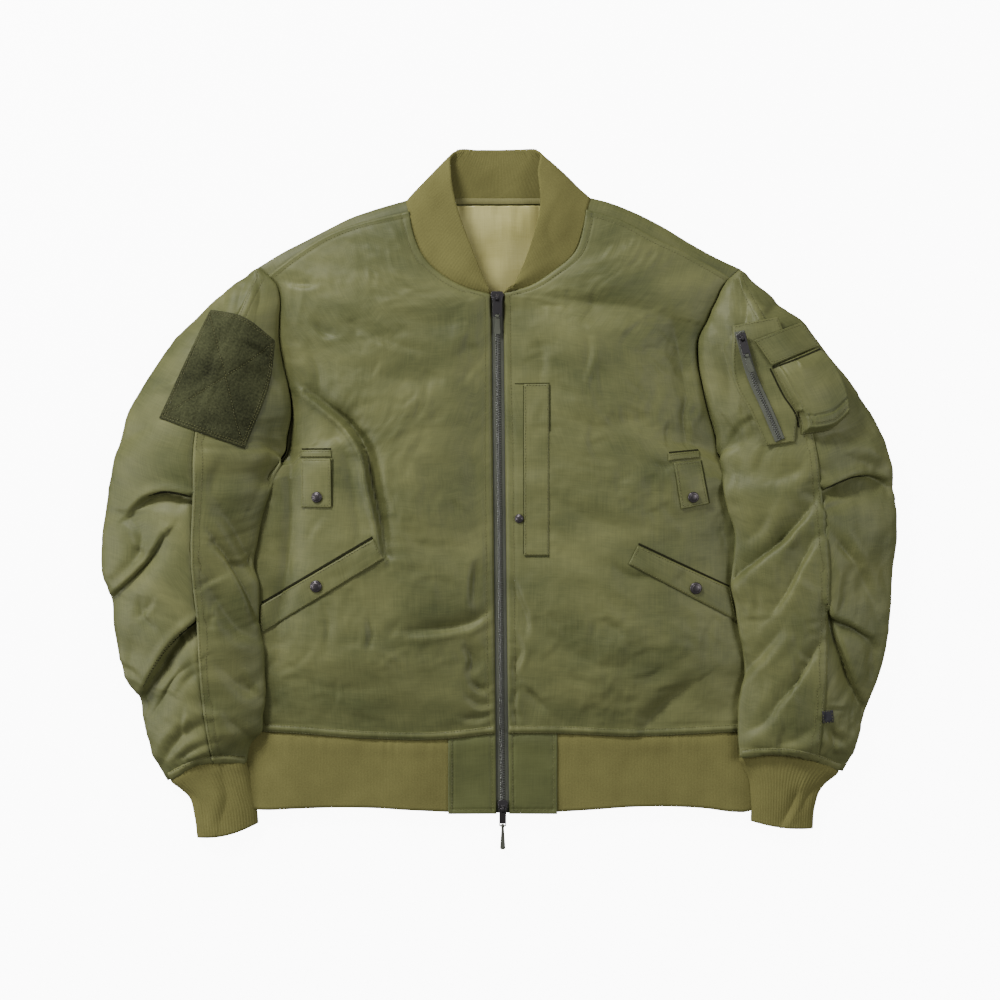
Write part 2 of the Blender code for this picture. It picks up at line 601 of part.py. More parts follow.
def under_fold(side, ring, body):
    """The front piece from the underarm seam, over the body's side, to the inner fold."""
    sign = SIGN[side]
    edge = side_out(side, ring.inner_y)
    inner, y = ring.inner_out, ring.inner_y

    def over(out):
        return [sign * out, y, body.height(sign * out, y, 4.0) + OVER_BODY]
    if edge - inner < 4.0:
        return [[sign * (inner + far), y, z] for far, z in ((14, 0), (10, 0), (6, 0), (2, 1.5), (0, 7))]
    step = edge + 1.2 - inner
    corner = [sign * (edge + 1.2), y, over(edge - 2.0)[2] - 0.8]
    fold = over(inner + 2.5)
    return [[sign * (edge + SIDE_CLEAR), y, 0.0], corner, over(inner + 0.55 * step), fold,
            [sign * inner, y, fold[2] + 6.0]]


def sleeve_section(side, k, ring, seam_point, body):
    """Two runs of points round the sleeve, for its front and its back piece."""
    sign = SIGN[side]
    width = ring.outer_out - ring.inner_out
    mid_y = 0.5 * (ring.inner_y + ring.outer_y)
    seam = min(max((float(read(TOP_SEAM[side], mid_y)) - ring.inner_out) / width, 0.35), 0.75)
    trim = GAP / width
    if seam_point is None:
        front = under_fold(side, ring, body)
        start, first = front[-1], 0.0
        floor_end = [front[0][0] + sign * SEAM_ROOM, front[0][1], 0.0]
    elif ring.seam_out:
        fold = [sign * ring.inner_out, ring.inner_y, seam_point[2] + 10.0]
        front = [[seam_point[0], seam_point[1], seam_point[2] + 1.0]]
        for share in (0.3, 0.6, 0.88):
            x = seam_point[0] + share * (fold[0] - seam_point[0])
            front.append([x, fold[1], body.height(x, fold[1]) + OVER_BODY + 1.6])
        front.append(fold)
        start, first = fold, 0.0
        floor_end = [seam_point[0], seam_point[1], 0.0]
    elif k == UNDER_FOLD_RING:
        front = [[seam_point[0], seam_point[1], seam_point[2] + rise] for rise in (0, 2, 4, 6.5, 9)]
        start, first = front[-1], 0.0
        floor_end = [seam_point[0], seam_point[1], 0.0]
    else:
        start, first = list(seam_point), OPEN_SHARES[-1]
        start[2] = min(start[2], 0.7 * ring.high)
        front = [arch(ring, sign, start, share) for share in OPEN_SHARES]
        floor_end = [seam_point[0], seam_point[1], 0.0]
    front += [arch(ring, sign, start, first + (seam - trim - first) * k / 3) for k in range(1, 4)]
    back = [arch(ring, sign, start, seam + trim + (0.965 - seam - trim) * k / 3) for k in range(4)]
    back.append(arch(ring, sign, start, 1.0))
    tuck = min(12.0, 0.3 * width)
    back.append([sign * (ring.outer_out - 0.25 * tuck), ring.outer_y, 0.1 * ring.high])
    back.append([sign * (ring.outer_out - tuck), ring.outer_y, 0.0])
    back.append(floor_end)
    return front, back


def make_sleeve(side, body):
    sign = SIGN[side]
    seam_points = shifted(armhole_points(side), -sign * GAP)[:0:-1]
    front, back = [], []
    last = len(SLEEVE[side]) - 1
    for k, ring in enumerate(SLEEVE[side]):
        near, far = sleeve_section(side, k, ring, seam_points[k] if k < OPEN_RINGS else None, body)
        if k == last:
            for point in near + far:
                share = (abs(point[0]) - ring.inner_out) / (ring.outer_out - ring.inner_out)
                point[1] += SLEEVE_END_BOW * math.sin(math.pi * min(max(share, 0), 1))
        front.append(near)
        back.append(far)
    front, back = np.array(front), np.array(back)
    for grid, columns in ((front, slice(4, 8)), (back, slice(0, 5))):
        part = grid[1:-1, columns]
        part[:, :, 2] -= trough(part[:, :, 0], part[:, :, 1], SLEEVE_FOLDS[side], sign)
    cloth("sleeve_%s_front" % side, [front], NYLON_WALL, "nylon", flip=sign > 0)
    cloth("sleeve_%s_back" % side, [back], NYLON_WALL, "nylon", flip=sign > 0)
    return np.concatenate([front, back], axis=1)


# The loop round a flattened cuff: share of its width, share of its height
CUFF_LOOP = ((0, 0.4), (0.06, 0.68), (0.2, 0.9), (0.4, 1), (0.6, 1), (0.8, 0.9), (0.94, 0.68), (1, 0.4),
             (0.985, 0.12), (0.93, 0), (0.7, 0), (0.5, 0), (0.3, 0), (0.07, 0), (0.015, 0.12))


def make_cuff(side):
    """A ribbed tube, flattened where it lies."""
    sign = SIGN[side]
    grid = []
    for k, ring in enumerate(CUFF[side]):
        width = ring.outer_out - ring.inner_out
        row = []
        for share, level in CUFF_LOOP:
            out = ring.inner_out + share * width
            y = ring.inner_y + share * (ring.outer_y - ring.inner_y) + ring.bow * math.sin(math.pi * share)
            row.append([sign * out, y - (1.4 if k == 0 else 0.0), level * ring.high])
        grid.append(row)
    return cloth("cuff_" + side, [np.array(grid)], RIB_WALL, "rib", closed=True, flip=sign > 0)


# ---------------------------------------------------------------- zip

Puller = namedtuple("Puller", "body_back body_front body_wide axle_z tab_long tab_wide "
                              "tail_long tail_start tail_end")
PULLERS = {
    "top": Puller(7.0, 6.0, 14.0, 4.9, 20.2, 10.0, 19.0, 4.4, 7.0),
    "bottom": Puller(9.0, 4.4, 11.0, 6.4, 21.0, 7.7, 26.0, 2.8, 6.0),
    "pocket": Puller(6.0, 5.0, 11.0, 4.9, 20.0, 8.4, 18.0, 4.0, 6.0),
}
PLATE = 2.6               # height of a slider's body
BRIDGE_HALF = 1.2
BRIDGE_IN, BRIDGE_OUT = 2.1, 3.3
TAB_THICK = 1.5
EYE_IN, EYE_OUT, EYE_HALF = 1.35, 2.1, 1.7


def prism(outline, low, high, axis="Z"):
    """An outline extruded from low to high along an axis, as a bmesh."""
    bm = bmesh.new()
    place = {"Z": lambda a, b, t: (a, b, t), "X": lambda a, b, t: (t, a, b)}[axis]
    face = bm.faces.new([bm.verts.new(Vector(place(a, b, low)) * MM) for a, b in outline])
    grown = bmesh.ops.extrude_face_region(bm, geom=[face])
    moved = [item for item in grown["geom"] if isinstance(item, bmesh.types.BMVert)]
    step = Vector(place(0, 0, high - low)) * MM
    bmesh.ops.translate(bm, verts=moved, vec=step)
    bmesh.ops.recalc_face_normals(bm, faces=bm.faces)
    return bm


def arc(radius, start, end, steps, centre=(0.0, 0.0)):
    """Points on an arc, its angles in degrees."""
    angles = [math.radians(start + (end - start) * k / steps) for k in range(steps + 1)]
    return [(centre[0] + radius * math.cos(a), centre[1] + radius * math.sin(a)) for a in angles]


def cut_or_join(target, bm, operation):
    """One exact Boolean with a helper shape, applied at once."""
    helper = new_object(target.name + "_helper", bm, "gunmetal")
    change = target.modifiers.new("bool", "BOOLEAN")
    change.operation = operation
    change.object = helper
    depsgraph = bpy.context.evaluated_depsgraph_get()
    result = bpy.data.meshes.new_from_object(target.evaluated_get(depsgraph))
    target.modifiers.clear()
    old = target.data
    target.data = result
    bpy.data.meshes.remove(old)
    bpy.data.objects.remove(helper, do_unlink=True)


def make_puller(kind, place, tab_tilt, tail_tilt):
    """A zip slider with its bridge, the tab hung on the bridge, and the tail hung on the tab.

    In `place`, +Y runs along the zip away from the tab, Z out of the cloth and the origin is
    on the chain, under the axle. Tilts are in degrees below the cloth's own direction.
    """
    size = PULLERS[kind]
    half = size.body_wide / 2
    body = [(-half * 0.62, -size.body_front), (half * 0.62, -size.body_front), (half * 0.8, -1.0),
            (half, size.body_back * 0.55), (half * 0.8, size.body_back), (-half * 0.8, size.body_back),
            (-half, size.body_back * 0.55), (-half * 0.8, -1.0)]
    slider = new_object("slider_" + kind, prism(body, 0.4, 0.4 + PLATE), "gunmetal")
    axle = size.axle_z
    inside = arc(BRIDGE_IN, 180, 0, 8, (0, axle))
    outside = arc(BRIDGE_OUT, 0, 180, 10, (0, axle))
    foot = PLATE
    bridge = [(BRIDGE_OUT, foot)] + outside + [(-BRIDGE_OUT, foot)]
    bridge += [(-BRIDGE_IN, foot)] + inside + [(BRIDGE_IN, foot)]
    cut_or_join(slider, prism(bridge, -BRIDGE_HALF, BRIDGE_HALF, "X"), "UNION")
    slider.matrix_world = place

    wide = size.tab_wide / 2
    rise = TAB_THICK / 2
    end = -size.tab_long
    outline = arc(wide * 0.55, 90, 0, 3, (wide * 0.45, 0.9 - wide * 0.55))
    outline += [(wide, -wide)] + arc(wide * 0.4, 0, -90, 3, (wide * 0.6, end + wide * 0.4 - rise))
    outline += [(-x, y) for x, y in reversed(outline)]
    tab = new_object("pull_" + kind, prism(outline, -rise, rise), "gunmetal")
    window = [(-2.2, -4.5), (2.2, -4.5), (2.2, -0.75), (-2.2, -0.75)]
    cut_or_join(tab, prism(window, -2, 2), "DIFFERENCE")
    slot_half = min(EYE_HALF + 0.9, wide - 1.2)
    slot = [(-slot_half, end + 0.65), (slot_half, end + 0.65), (slot_half, end + 2.9),
            (-slot_half, end + 2.9)]
    cut_or_join(tab, prism(slot, -2, 2), "DIFFERENCE")
    lean = Matrix.Rotation(math.radians(tab_tilt), 4, "X")
    tab.matrix_world = place @ Matrix.Translation((0, 0, axle * MM)) @ lean

    ring = arc(EYE_OUT, 0, 330, 11)
    eye = prism(ring, -EYE_HALF, EYE_HALF, "X")
    tail = new_object("tail_" + kind, eye, "zip_tape")
    foot_y = -size.tail_long
    near, far = size.tail_start / 2, size.tail_end / 2
    strip = [(-near, -1.7), (-far, foot_y + 1.5), (-far + 1.2, foot_y),
             (far - 1.2, foot_y), (far, foot_y + 1.5), (near, -1.7)]
    cut_or_join(tail, prism(strip, -0.9, 0.9), "UNION")
    cut_or_join(tail, prism(arc(EYE_IN, 0, 330, 11), -8, 8, "X"), "DIFFERENCE")
    hang = tab.matrix_world @ Matrix.Translation((0, end * MM, 0))
    tail.matrix_world = hang @ Matrix.Rotation(math.radians(tail_tilt - tab_tilt), 4, "X")


def strip_along(name, centre, half, ys, z_of, wall, look):
    """A straight strip that follows the zip."""
    grid = [[(centre(y) - half, y, z_of(y)), (centre(y) + half, y, z_of(y))] for y in ys]
    return cloth(name, [np.array(grid)], wall, look)


def make_zip():
    ys = np.linspace(ZIP_FOOT_Y, ZIP_TOP_Y, 19)
    tape_mid = (CHAIN_HALF + ZIP_HALF_GAP) / 2
    tape_half = (ZIP_HALF_GAP - CHAIN_HALF) / 2 - 0.4
    for side in ("right", "left"):
        strip_along("zip_tape_" + side, lambda y: zip_x(y) + SIGN[side] * tape_mid, tape_half, ys,
                    lambda y: float(read(ZIP_RISE, y)) - 0.6, TAPE_WALL, "zip_tape")
    return strip_along("zip_chain", zip_x, CHAIN_HALF, ys, lambda y: float(read(ZIP_RISE, y)) + 0.7,
                       3.0, "gunmetal")


def make_main_pullers(chain):
    top = Surface([chain])
    for kind, y, tab_tilt, tail_tilt in (("top", 218.0, 6.0, 2.5), ("bottom", -334.0, 25.0, 5.0)):
        middle = float(zip_x(y))
        z = top.height(middle, y)
        place = Matrix.Translation(to_world((middle, y, z)))
        make_puller(kind, place, tab_tilt, tail_tilt)


# ---------------------------------------------------------------- pockets, tabs and patches

def make_front_trim(fronts):
    """Slanted pocket welts, the pen tabs under the shoulders and the chest pocket's welt."""
    under = Surface(fronts)
    welts = {"right": ((-136, -42), (-259, -114), (-259, -145), (-125, -63)),
             "left": ((138, -69), (256, -131), (249, -95), (148, -49))}
    snaps = {"right": (-198, -93, 6.5), "left": (211, -95, 6.5)}
    pen_bars = {"right": ((-216, 46), (-181, 46), (-182, 54), (-216, 54)),
                "left": ((181, 42), (215, 45.5), (215, 53), (181, 50))}
    pen_tabs = {"right": ((-214, -8), (-181, -8), (-182, 44.5), (-214, 44.5)),
                "left": ((195, -10), (225, -4), (216, 43), (187, 40))}
    pen_snaps = {"right": (-197, 3, 6), "left": (208, 3, 6)}
    laid_on = []
    for side in ("right", "left"):
        welt = laid("welt_" + side, under, straight_edges(welts[side]), 2, 8, NYLON_WALL, "nylon")
        snap("welt_snap_" + side, Surface(fronts + [welt]), *snaps[side])
        laid("pen_bar_" + side, under, straight_edges(pen_bars[side]), 1, 4, 2.0, "nylon")
        tab = laid("pen_tab_" + side, under, straight_edges(pen_tabs[side]), 5, 3, NYLON_WALL, "nylon")
        snap("pen_snap_" + side, Surface(fronts + [tab]), *pen_snaps[side])
        laid_on += [welt, tab]
    chest = laid("chest_welt", under, straight_edges(((26, -60), (53, -60), (53, 125), (26, 125))), 12, 2,
                 NYLON_WALL, "nylon")
    snap("chest_snap", Surface(fronts + [chest]), 20.8, -20, 4.9, 1.1)
    return laid_on


def make_sleeve_pocket(sleeve):
    """The bellows pocket on the left sleeve, with its zip along the inner edge."""
    under = Surface([], [sleeve])
    base_edges = (track([(286, 58), (316, 62)]), track([(250, 187), (299, 197)]),
                  track([(286, 58), (268, 95), (252, 124), (250, 187)]),
                  track([(316, 62), (320, 130), (299, 197)]))
    base = laid("sleeve_pocket_base", under, base_edges, 8, 5, 2.0, "nylon")
    stack = Surface([base], [sleeve])
    bellows_edges = (track([(322, 70), (350, 78), (371, 95)]), track([(292, 140), (341, 161)]),
                     track([(322, 70), (320, 88), (306, 112), (292, 140)]),
                     track([(371, 95), (360, 130), (341, 161)]))
    bellows = laid("sleeve_pocket_bellows", stack, bellows_edges, 6, 5, NYLON_WALL, "nylon")
    flap_edges = straight_edges(((291, 146), (340, 167), (321, 188), (273, 171)))
    laid("sleeve_pocket_flap", Surface([base, bellows], [sleeve]), flap_edges, 4, 5, NYLON_WALL, "nylon")
    line = track([(257, 181), (270, 134), (287, 95), (300, 64)])
    tape = ribbon("pocket_zip_tape", stack, line, 4.2, TAPE_WALL, "zip_tape")
    chain = ribbon("pocket_zip_chain", Surface([tape]), line, 1.8, 1.4, "gunmetal")
    (x, y), (far_x, far_y) = line(0.07)[0], line(0.3)[0]
    place = frame_at(Surface([chain]), x, y, (x - far_x, y - far_y), 0.8)
    make_puller("pocket", place, 2.0, 2.0)


def ribbon(name, under, line, half, wall, look):
    """A narrow strip laid along a line in plan."""
    def ahead(share):
        return line(min(share + 0.05, 1.0))[0] - line(max(share - 0.05, 0.0))[0]

    def side_line(way):
        shares = np.linspace(0, 1, 15)
        runs = np.array([ahead(share) for share in shares])
        runs /= np.linalg.norm(runs, axis=1)[:, None]
        spots = line(shares)
        aside = way * half * np.stack([-runs[:, 1], runs[:, 0]], axis=1)
        return track(spots + aside)
    near, far = side_line(-1.0), side_line(1.0)
    low, high = track([near(0)[0], far(0)[0]]), track([near(1)[0], far(1)[0]])
    return laid(name, under, (low, high, near, far), 10, 2 if half > 3 else 1, wall, look)


def make_patch_and_label(sleeve_right, sleeve_left):
    patch_edges = straight_edges(((-364, 88), (-276, 58), (-245, 168), (-312, 203)))
    laid("loop_patch", Surface([], [sleeve_right]), patch_edges, 6, 6, 1.6, "loop_tape")
    label_edges = straight_edges(((347, -240), (359, -239), (358, -226), (346, -227)))
    laid("label_tab", Surface([], [sleeve_left]), label_edges, 1, 1, 1.2, "label")


def main():
    clear_scene()
    make_back()
    fronts = [make_front("right"), make_front("left")]
    make_lining()
    make_collar()
    rib = make_hem()
    trims = make_front_trim(fronts)
    body = Surface(fronts + trims + [rib])
    sleeves = {side: make_sleeve(side, body) for side in ("right", "left")}
    for side in ("right", "left"):
        make_cuff(side)
    make_main_pullers(make_zip())
    make_sleeve_pocket(sleeves["left"])
    make_patch_and_label(sleeves["right"], sleeves["left"])


main()
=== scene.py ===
# %% [markdown]
# # A bomber jacket laid flat
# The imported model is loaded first. It is the frame: plain walls that say where every piece lies.
# Everything below is made in the same place, in millimetres, and turned to metres when a mesh is
# made. +Y runs from the hem to the collar, +Z up from the table, and left and right are the wearer's.

# %% Load the frame
import math
from collections import namedtuple

import bmesh
import bpy
import numpy as np
from mathutils import Matrix, Vector
from mathutils.bvhtree import BVHTree


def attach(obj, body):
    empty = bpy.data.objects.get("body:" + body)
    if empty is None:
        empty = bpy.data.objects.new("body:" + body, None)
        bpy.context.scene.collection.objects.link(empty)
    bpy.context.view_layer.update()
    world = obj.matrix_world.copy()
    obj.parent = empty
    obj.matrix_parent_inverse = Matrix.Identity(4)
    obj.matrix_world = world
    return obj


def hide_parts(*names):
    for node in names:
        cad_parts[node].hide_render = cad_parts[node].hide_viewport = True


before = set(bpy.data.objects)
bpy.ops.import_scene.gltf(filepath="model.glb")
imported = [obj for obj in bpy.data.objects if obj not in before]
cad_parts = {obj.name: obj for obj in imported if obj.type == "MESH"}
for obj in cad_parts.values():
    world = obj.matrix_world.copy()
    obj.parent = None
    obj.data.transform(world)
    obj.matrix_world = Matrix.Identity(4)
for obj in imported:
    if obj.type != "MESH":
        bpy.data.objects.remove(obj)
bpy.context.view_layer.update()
print("frame:", len(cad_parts), "nodes")

# %% [markdown]
# ## Camera, floor and light
# Clothes for a catalogue are laid on a white table and seen from straight above. A long lens keeps
# the edges from spreading. The main light is a soft box above the collar, on the left. A low one on the left
# edge and a weak one on the right help it, in a white room: the folds then have a light side and a dark side.

# %% Camera, floor and light
MM = 0.001
VIEW_WIDTH = 1.080
LENS = 120.0
SENSOR = 36.0
TOP_OF_JACKET = 0.02
ROOM_LIGHT = 0.25


def placed(name, data):
    """An object of its own in the scene."""
    thing = bpy.data.objects.new(name, data)
    bpy.context.scene.collection.objects.link(thing)
    return thing


camera = placed("camera", bpy.data.cameras.new("camera"))
camera.data.lens = LENS
camera.data.sensor_width = SENSOR
camera.data.clip_end = 50.0
camera.location = (0.001, -0.0007, VIEW_WIDTH * LENS / SENSOR + TOP_OF_JACKET)
bpy.context.scene.camera = camera


def soft_light(name, spot, size, watts):
    """A soft box of light, in metres and watts, that points at the middle of the jacket."""
    lamp = bpy.data.lights.new(name, "AREA")
    lamp.shape = "RECTANGLE"
    lamp.size, lamp.size_y = size
    lamp.energy = watts
    light = placed(name, lamp)
    light.location = spot
    light.rotation_euler = (-Vector(spot)).to_track_quat("-Z", "Y").to_euler()


soft_light("key_light", (-1.7, 2.5, 1.75), (1.1, 0.6), 128.0)
soft_light("side_light", (-2.3, -0.2, 0.85), (0.8, 0.6), 26.0)
soft_light("fill_light", (1.9, 0.2, 1.9), (1.0, 1.0), 27.0)

world = bpy.data.worlds.new("white_room")
world.use_nodes = True
room = world.node_tree.nodes["Background"]
room.inputs["Color"].default_value = (1.0, 1.0, 1.0, 1.0)
room.inputs["Strength"].default_value = ROOM_LIGHT
bpy.context.scene.world = world
print("camera at %.2f m" % camera.location.z)

# %% [markdown]
# ## Finishes
# Every finish starts from what the real one is. Colours are sRGB hex values, turned to linear by one
# function, and one function adds a node with its settings and links. Cloth carries its own
# coordinates, `grain`: metres across and along each piece as it was cut, so that the weave turns
# with the sleeve, as it does on the real jacket.

# %% Helpers for the finishes
def linear(code):
    """A hex colour, such as 6e6e4b, as linear red, green, blue and alpha."""
    parts = [int(code[i:i + 2], 16) / 255 for i in (0, 2, 4)]
    return tuple(c / 12.92 if c <= 0.04045 else ((c + 0.055) / 1.055) ** 2.4 for c in parts) + (1.0,)


def node(tree, kind, inputs=None, **settings):
    """Adds a node; `inputs` maps an input to what feeds it or its value, the rest are settings or values."""
    made = tree.nodes.new("ShaderNode" + kind)
    for key, value in settings.items():
        if hasattr(made, key):
            setattr(made, key, value)
        else:
            made.inputs[key.replace("_", " ")].default_value = value
    for key, source in (inputs or {}).items():
        if isinstance(source, float):
            made.inputs[key].default_value = source
        else:
            tree.links.new(source, made.inputs[key])
    return made


def new_finish(name, colour, roughness, metallic=0.0, **more):
    """A material and its shader; `more` are the shader's own input values."""
    material = bpy.data.materials.new(name)
    material.use_nodes = True
    shader = material.node_tree.nodes["Principled BSDF"]
    shader.inputs["Base Color"].default_value = linear(colour)
    shader.inputs["Roughness"].default_value = roughness
    shader.inputs["Metallic"].default_value = metallic
    for key, value in more.items():
        shader.inputs[key.replace("_", " ")].default_value = value
    return material, material.node_tree, shader


def stretched_noise(tree, source, across, along, detail=2.0, seed=0.0):
    """Noise whose spots measure across x along millimetres."""
    scaled = node(tree, "Mapping", {"Vector": source}, Scale=(1000 / across, 1000 / along, 1000 / across),
                  Location=(seed, seed * 1.7, 0.0))
    return node(tree, "TexNoise", {"Vector": scaled.outputs["Vector"]}, Scale=1.0, Detail=detail,
                Roughness=0.55).outputs["Fac"]


def coloured(tree, shader, share, dark, light, height, strength, high):
    """Colours from dark to light as the share goes from 0.3 to 0.7, where noise has most of its values,
    and bumps that are `high` millimetres."""
    ramp = node(tree, "ValToRGB", {"Fac": share})
    for stop, place, colour in zip(ramp.color_ramp.elements, (0.3, 0.7), (dark, light)):
        stop.position, stop.color = place, linear(colour)
    tree.links.new(ramp.outputs["Color"], shader.inputs["Base Color"])
    bump = node(tree, "Bump", {"Height": height}, Strength=strength, Distance=high * MM)
    tree.links.new(bump.outputs["Normal"], shader.inputs["Normal"])


# %% [markdown]
# ### Nylon twill
# The shell is a satin-faced nylon, woven with uneven yarn and washed. Thick places in the yarn, slubs, run
# both ways as short faint lines. The yarn itself is about 0.25 mm thick, too fine to show, so the weave is
# drawn at 1.1 mm. Long fibres give a soft shine, which is why the folds have light edges.

# %% Nylon
def woven(name, dark, light, roughness, slub=1.0, sheen=0.08):
    """Slubs 26 to 34 mm long both ways make the lines; clouds of 60 to 90 mm are where washing took the dye."""
    material, tree, shader = new_finish(name, dark, roughness, Sheen_Weight=sheen, Sheen_Roughness=0.35,
                                        Specular_IOR_Level=0.34, Sheen_Tint=linear("b9b98e"))
    grain = node(tree, "Attribute", attribute_name="grain").outputs["Vector"]
    weft = stretched_noise(tree, grain, 26.0, 1.2, 3.0, 0.3)
    warp = stretched_noise(tree, grain, 1.1, 34.0, 2.0, 4.1)
    clouds = stretched_noise(tree, grain, 90.0, 60.0, 4.0, 8.2)
    both = node(tree, "Math", {0: weft, 1: warp}, operation="ADD").outputs[0]
    lines = node(tree, "Math", {0: both, 1: 0.5}, operation="MULTIPLY").outputs[0]
    wide = node(tree, "Math", {0: clouds, 1: 0.62}, operation="MULTIPLY").outputs[0]
    share = node(tree, "Math", {0: lines, 1: 0.38, 2: wide}, operation="MULTIPLY_ADD").outputs[0]
    coloured(tree, shader, share, dark, light, lines, 0.2 * slub, 0.5)
    return material


nylon = woven("nylon_twill", "434927", "747548", 0.56)
nylon_band = woven("nylon_twill_tab", "454926", "62673b", 0.58)
satin = woven("lining_satin", "9f9858", "cac385", 0.32, slub=0.3, sheen=0.05)
neck_satin = woven("neck_tape_satin", "6b683c", "8a8757", 0.5, slub=0.5, sheen=0.05)

# %% [markdown]
# ### Rib knit, tape, pile, label and thread
# The collar, cuffs and hem are a wool-like rib knit: dull, with a soft nap. Its ribs are real geometry, made
# with each piece. The patch is loop pile, a mat of fine hooks' loops, nearly black between the loops.
# The zip's tape is a tight herringbone, and the thread is polyester, a little glossier than the cloth.

# %% Knit, tape, pile, thread
def fuzzy(name, dark, light, spot, roughness=0.95, sheen=0.5, high=0.3):
    """A matt cloth with a nap; `spot` is the width of its loops or yarns and `high` their height, in mm."""
    material, tree, shader = new_finish(name, dark, roughness, Sheen_Weight=sheen, Sheen_Roughness=0.5,
                                        Specular_IOR_Level=0.2, Sheen_Tint=linear(light))
    grain = node(tree, "Attribute", attribute_name="grain").outputs["Vector"]
    fine = stretched_noise(tree, grain, spot, spot, 3.0, 1.0)
    wide = stretched_noise(tree, grain, 45.0, 45.0, 2.0, 6.0)
    mixed = node(tree, "Math", {0: fine, 1: wide}, operation="ADD").outputs[0]
    share = node(tree, "Math", {0: mixed, 1: 0.5}, operation="MULTIPLY").outputs[0]
    coloured(tree, shader, share, dark, light, fine, 0.6, high)
    return material


knit = fuzzy("rib_knit", "615e35", "787545", 1.6, sheen=0.1)
tape = fuzzy("zip_tape_weave", "484a40", "5e6056", 1.2, 0.8, 0.1)
pile = fuzzy("loop_pile", "1d1f12", "525539", 2.3, 1.0, 0.15, 1.2)
label_weave = fuzzy("label_weave", "2b2a2f", "3a393e", 1.0, 0.8, 0.1)
thread = new_finish("polyester_thread", "5d5c36", 0.55)[0]

# %% [markdown]
# ### Gunmetal plating
# Snaps, sliders and teeth are brass or zinc with a black nickel plating: a dark, slightly warm metal. Handling
# wears it brighter in places, so its roughness varies.

# %% Metal
def plated(name, colour, roughness):
    material, tree, shader = new_finish(name, colour, roughness, 1.0)
    place = node(tree, "TexCoord").outputs["Object"]
    worn = node(tree, "TexNoise", {"Vector": place}, Scale=900.0, Detail=3.0).outputs["Fac"]
    rough = node(tree, "MapRange", {"Value": worn}, To_Min=roughness - 0.1, To_Max=roughness + 0.14)
    tree.links.new(rough.outputs["Result"], shader.inputs["Roughness"])
    return material


gunmetal = plated("black_nickel", "5f5c5e", 0.34)
snap_metal = plated("black_nickel_cap", "565153", 0.4)
tooth_metal = plated("black_nickel_teeth", "969792", 0.36)

# %% [markdown]
# ## How the pieces lie
# These tables are the same as the frame's: edges of the panels, sections of the sleeves, all in millimetres
# from the middle of the jacket. The first number of a row is measured outwards, on either side.

# %% Sizes and tables
CENTRE = (-1.0, 0.74)
SIGN = {"right": -1.0, "left": 1.0}
SIDES = ("right", "left")
GAP = 0.5
LAP = 2.4
ZIP_TOP_Y, ZIP_FOOT_Y = 224.0, -339.0
ZIP_TOP_X, ZIP_FOOT_X = -3.0, 3.0
ZIP_HALF_GAP = 6.9
HEM_HEIGHT = 12.0
BACK_NECK_Y, BACK_HEM_Y = 328.0, -252.0
HEM_TAB_FOOT_Y = -340.0
ZIP_RISE = ((-339, 8.0), (-300, 9.5), (-252, 11.5), (-180, 19.0), (-60, 23.0), (120, 24.0), (224, 24.5))
NECK = {
    "right": ((9.9, 222, 25), (36, 229, 25), (58, 240, 24.5), (82, 262, 22.5), (95, 293, 19.5), (98, 312, 17)),
    "left": ((3.9, 223, 25), (34, 232, 25), (56, 246, 24.5), (81, 268, 22.5), (91, 300, 19), (93, 314, 17)),
}
SHOULDER_SEAM = {
    "right": ((98, 312, 17), (130, 305, 17), (154, 299, 16), (184, 288, 15.5), (220, 266, 14), (249, 244, 12)),
    "left": ((93, 314, 17), (130, 303, 17), (170, 282, 16), (190, 273, 15.5), (224, 255, 14), (247, 242, 12)),
}
SHOULDER_FOLD = {
    "right": ((98, 326, 6), (142, 313, 6), (164, 305, 6), (182, 296, 6), (215, 279, 5.5), (233, 270, 5),
              (259.5, 254, 5)),
    "left": ((93, 329, 6), (120, 322, 6), (143, 313, 6), (177, 296, 6), (205, 279, 5.5), (238, 261, 5),
             (257.5, 252, 5)),
}
UNDERARM = {"right": (285, 11, 5.6), "left": (285, 12, 5.6)}
SIDE = {
    "right": ((262, -340, 7), (263, -251, 7.5), (275, -200, 6), (284, -110, 5.6), (286, -40, 5.6), (285, 11, 5.6)),
    "left": ((268, -340, 7), (269, -251, 7.5), (279, -200, 6), (285, -110, 5.6), (286, -40, 5.6), (285, 12, 5.6)),
}
ARMHOLE_RISE = ((12, 5.6), (28, 7.2), (45, 9.3), (70, 10.8), (98, 12.2), (150, 13), (216, 13), (250, 12))
HEM_SEAM = {
    "right": ((4.6, -253, 12), (60, -259, 12.5), (150, -258, 13.2), (220, -253, 12), (263, -251, 7.5)),
    "left": ((9.3, -253, 12), (60, -253, 12.5), (150, -256, 13.2), (220, -253, 12), (269, -251, 7.5)),
}
FRONT_SWELL = ((0, 0), (0.1, 13), (0.3, 19), (0.6, 18), (0.85, 11), (1, 0))
Ring = namedtuple("Ring", "outer_out outer_y inner_out inner_y high seam_out", defaults=(None,))


def sections(kind, text):
    """Rows of numbers, each a section of that kind; a semicolon ends a row."""
    return [kind(*map(float, row.split())) for row in text.split(";")]


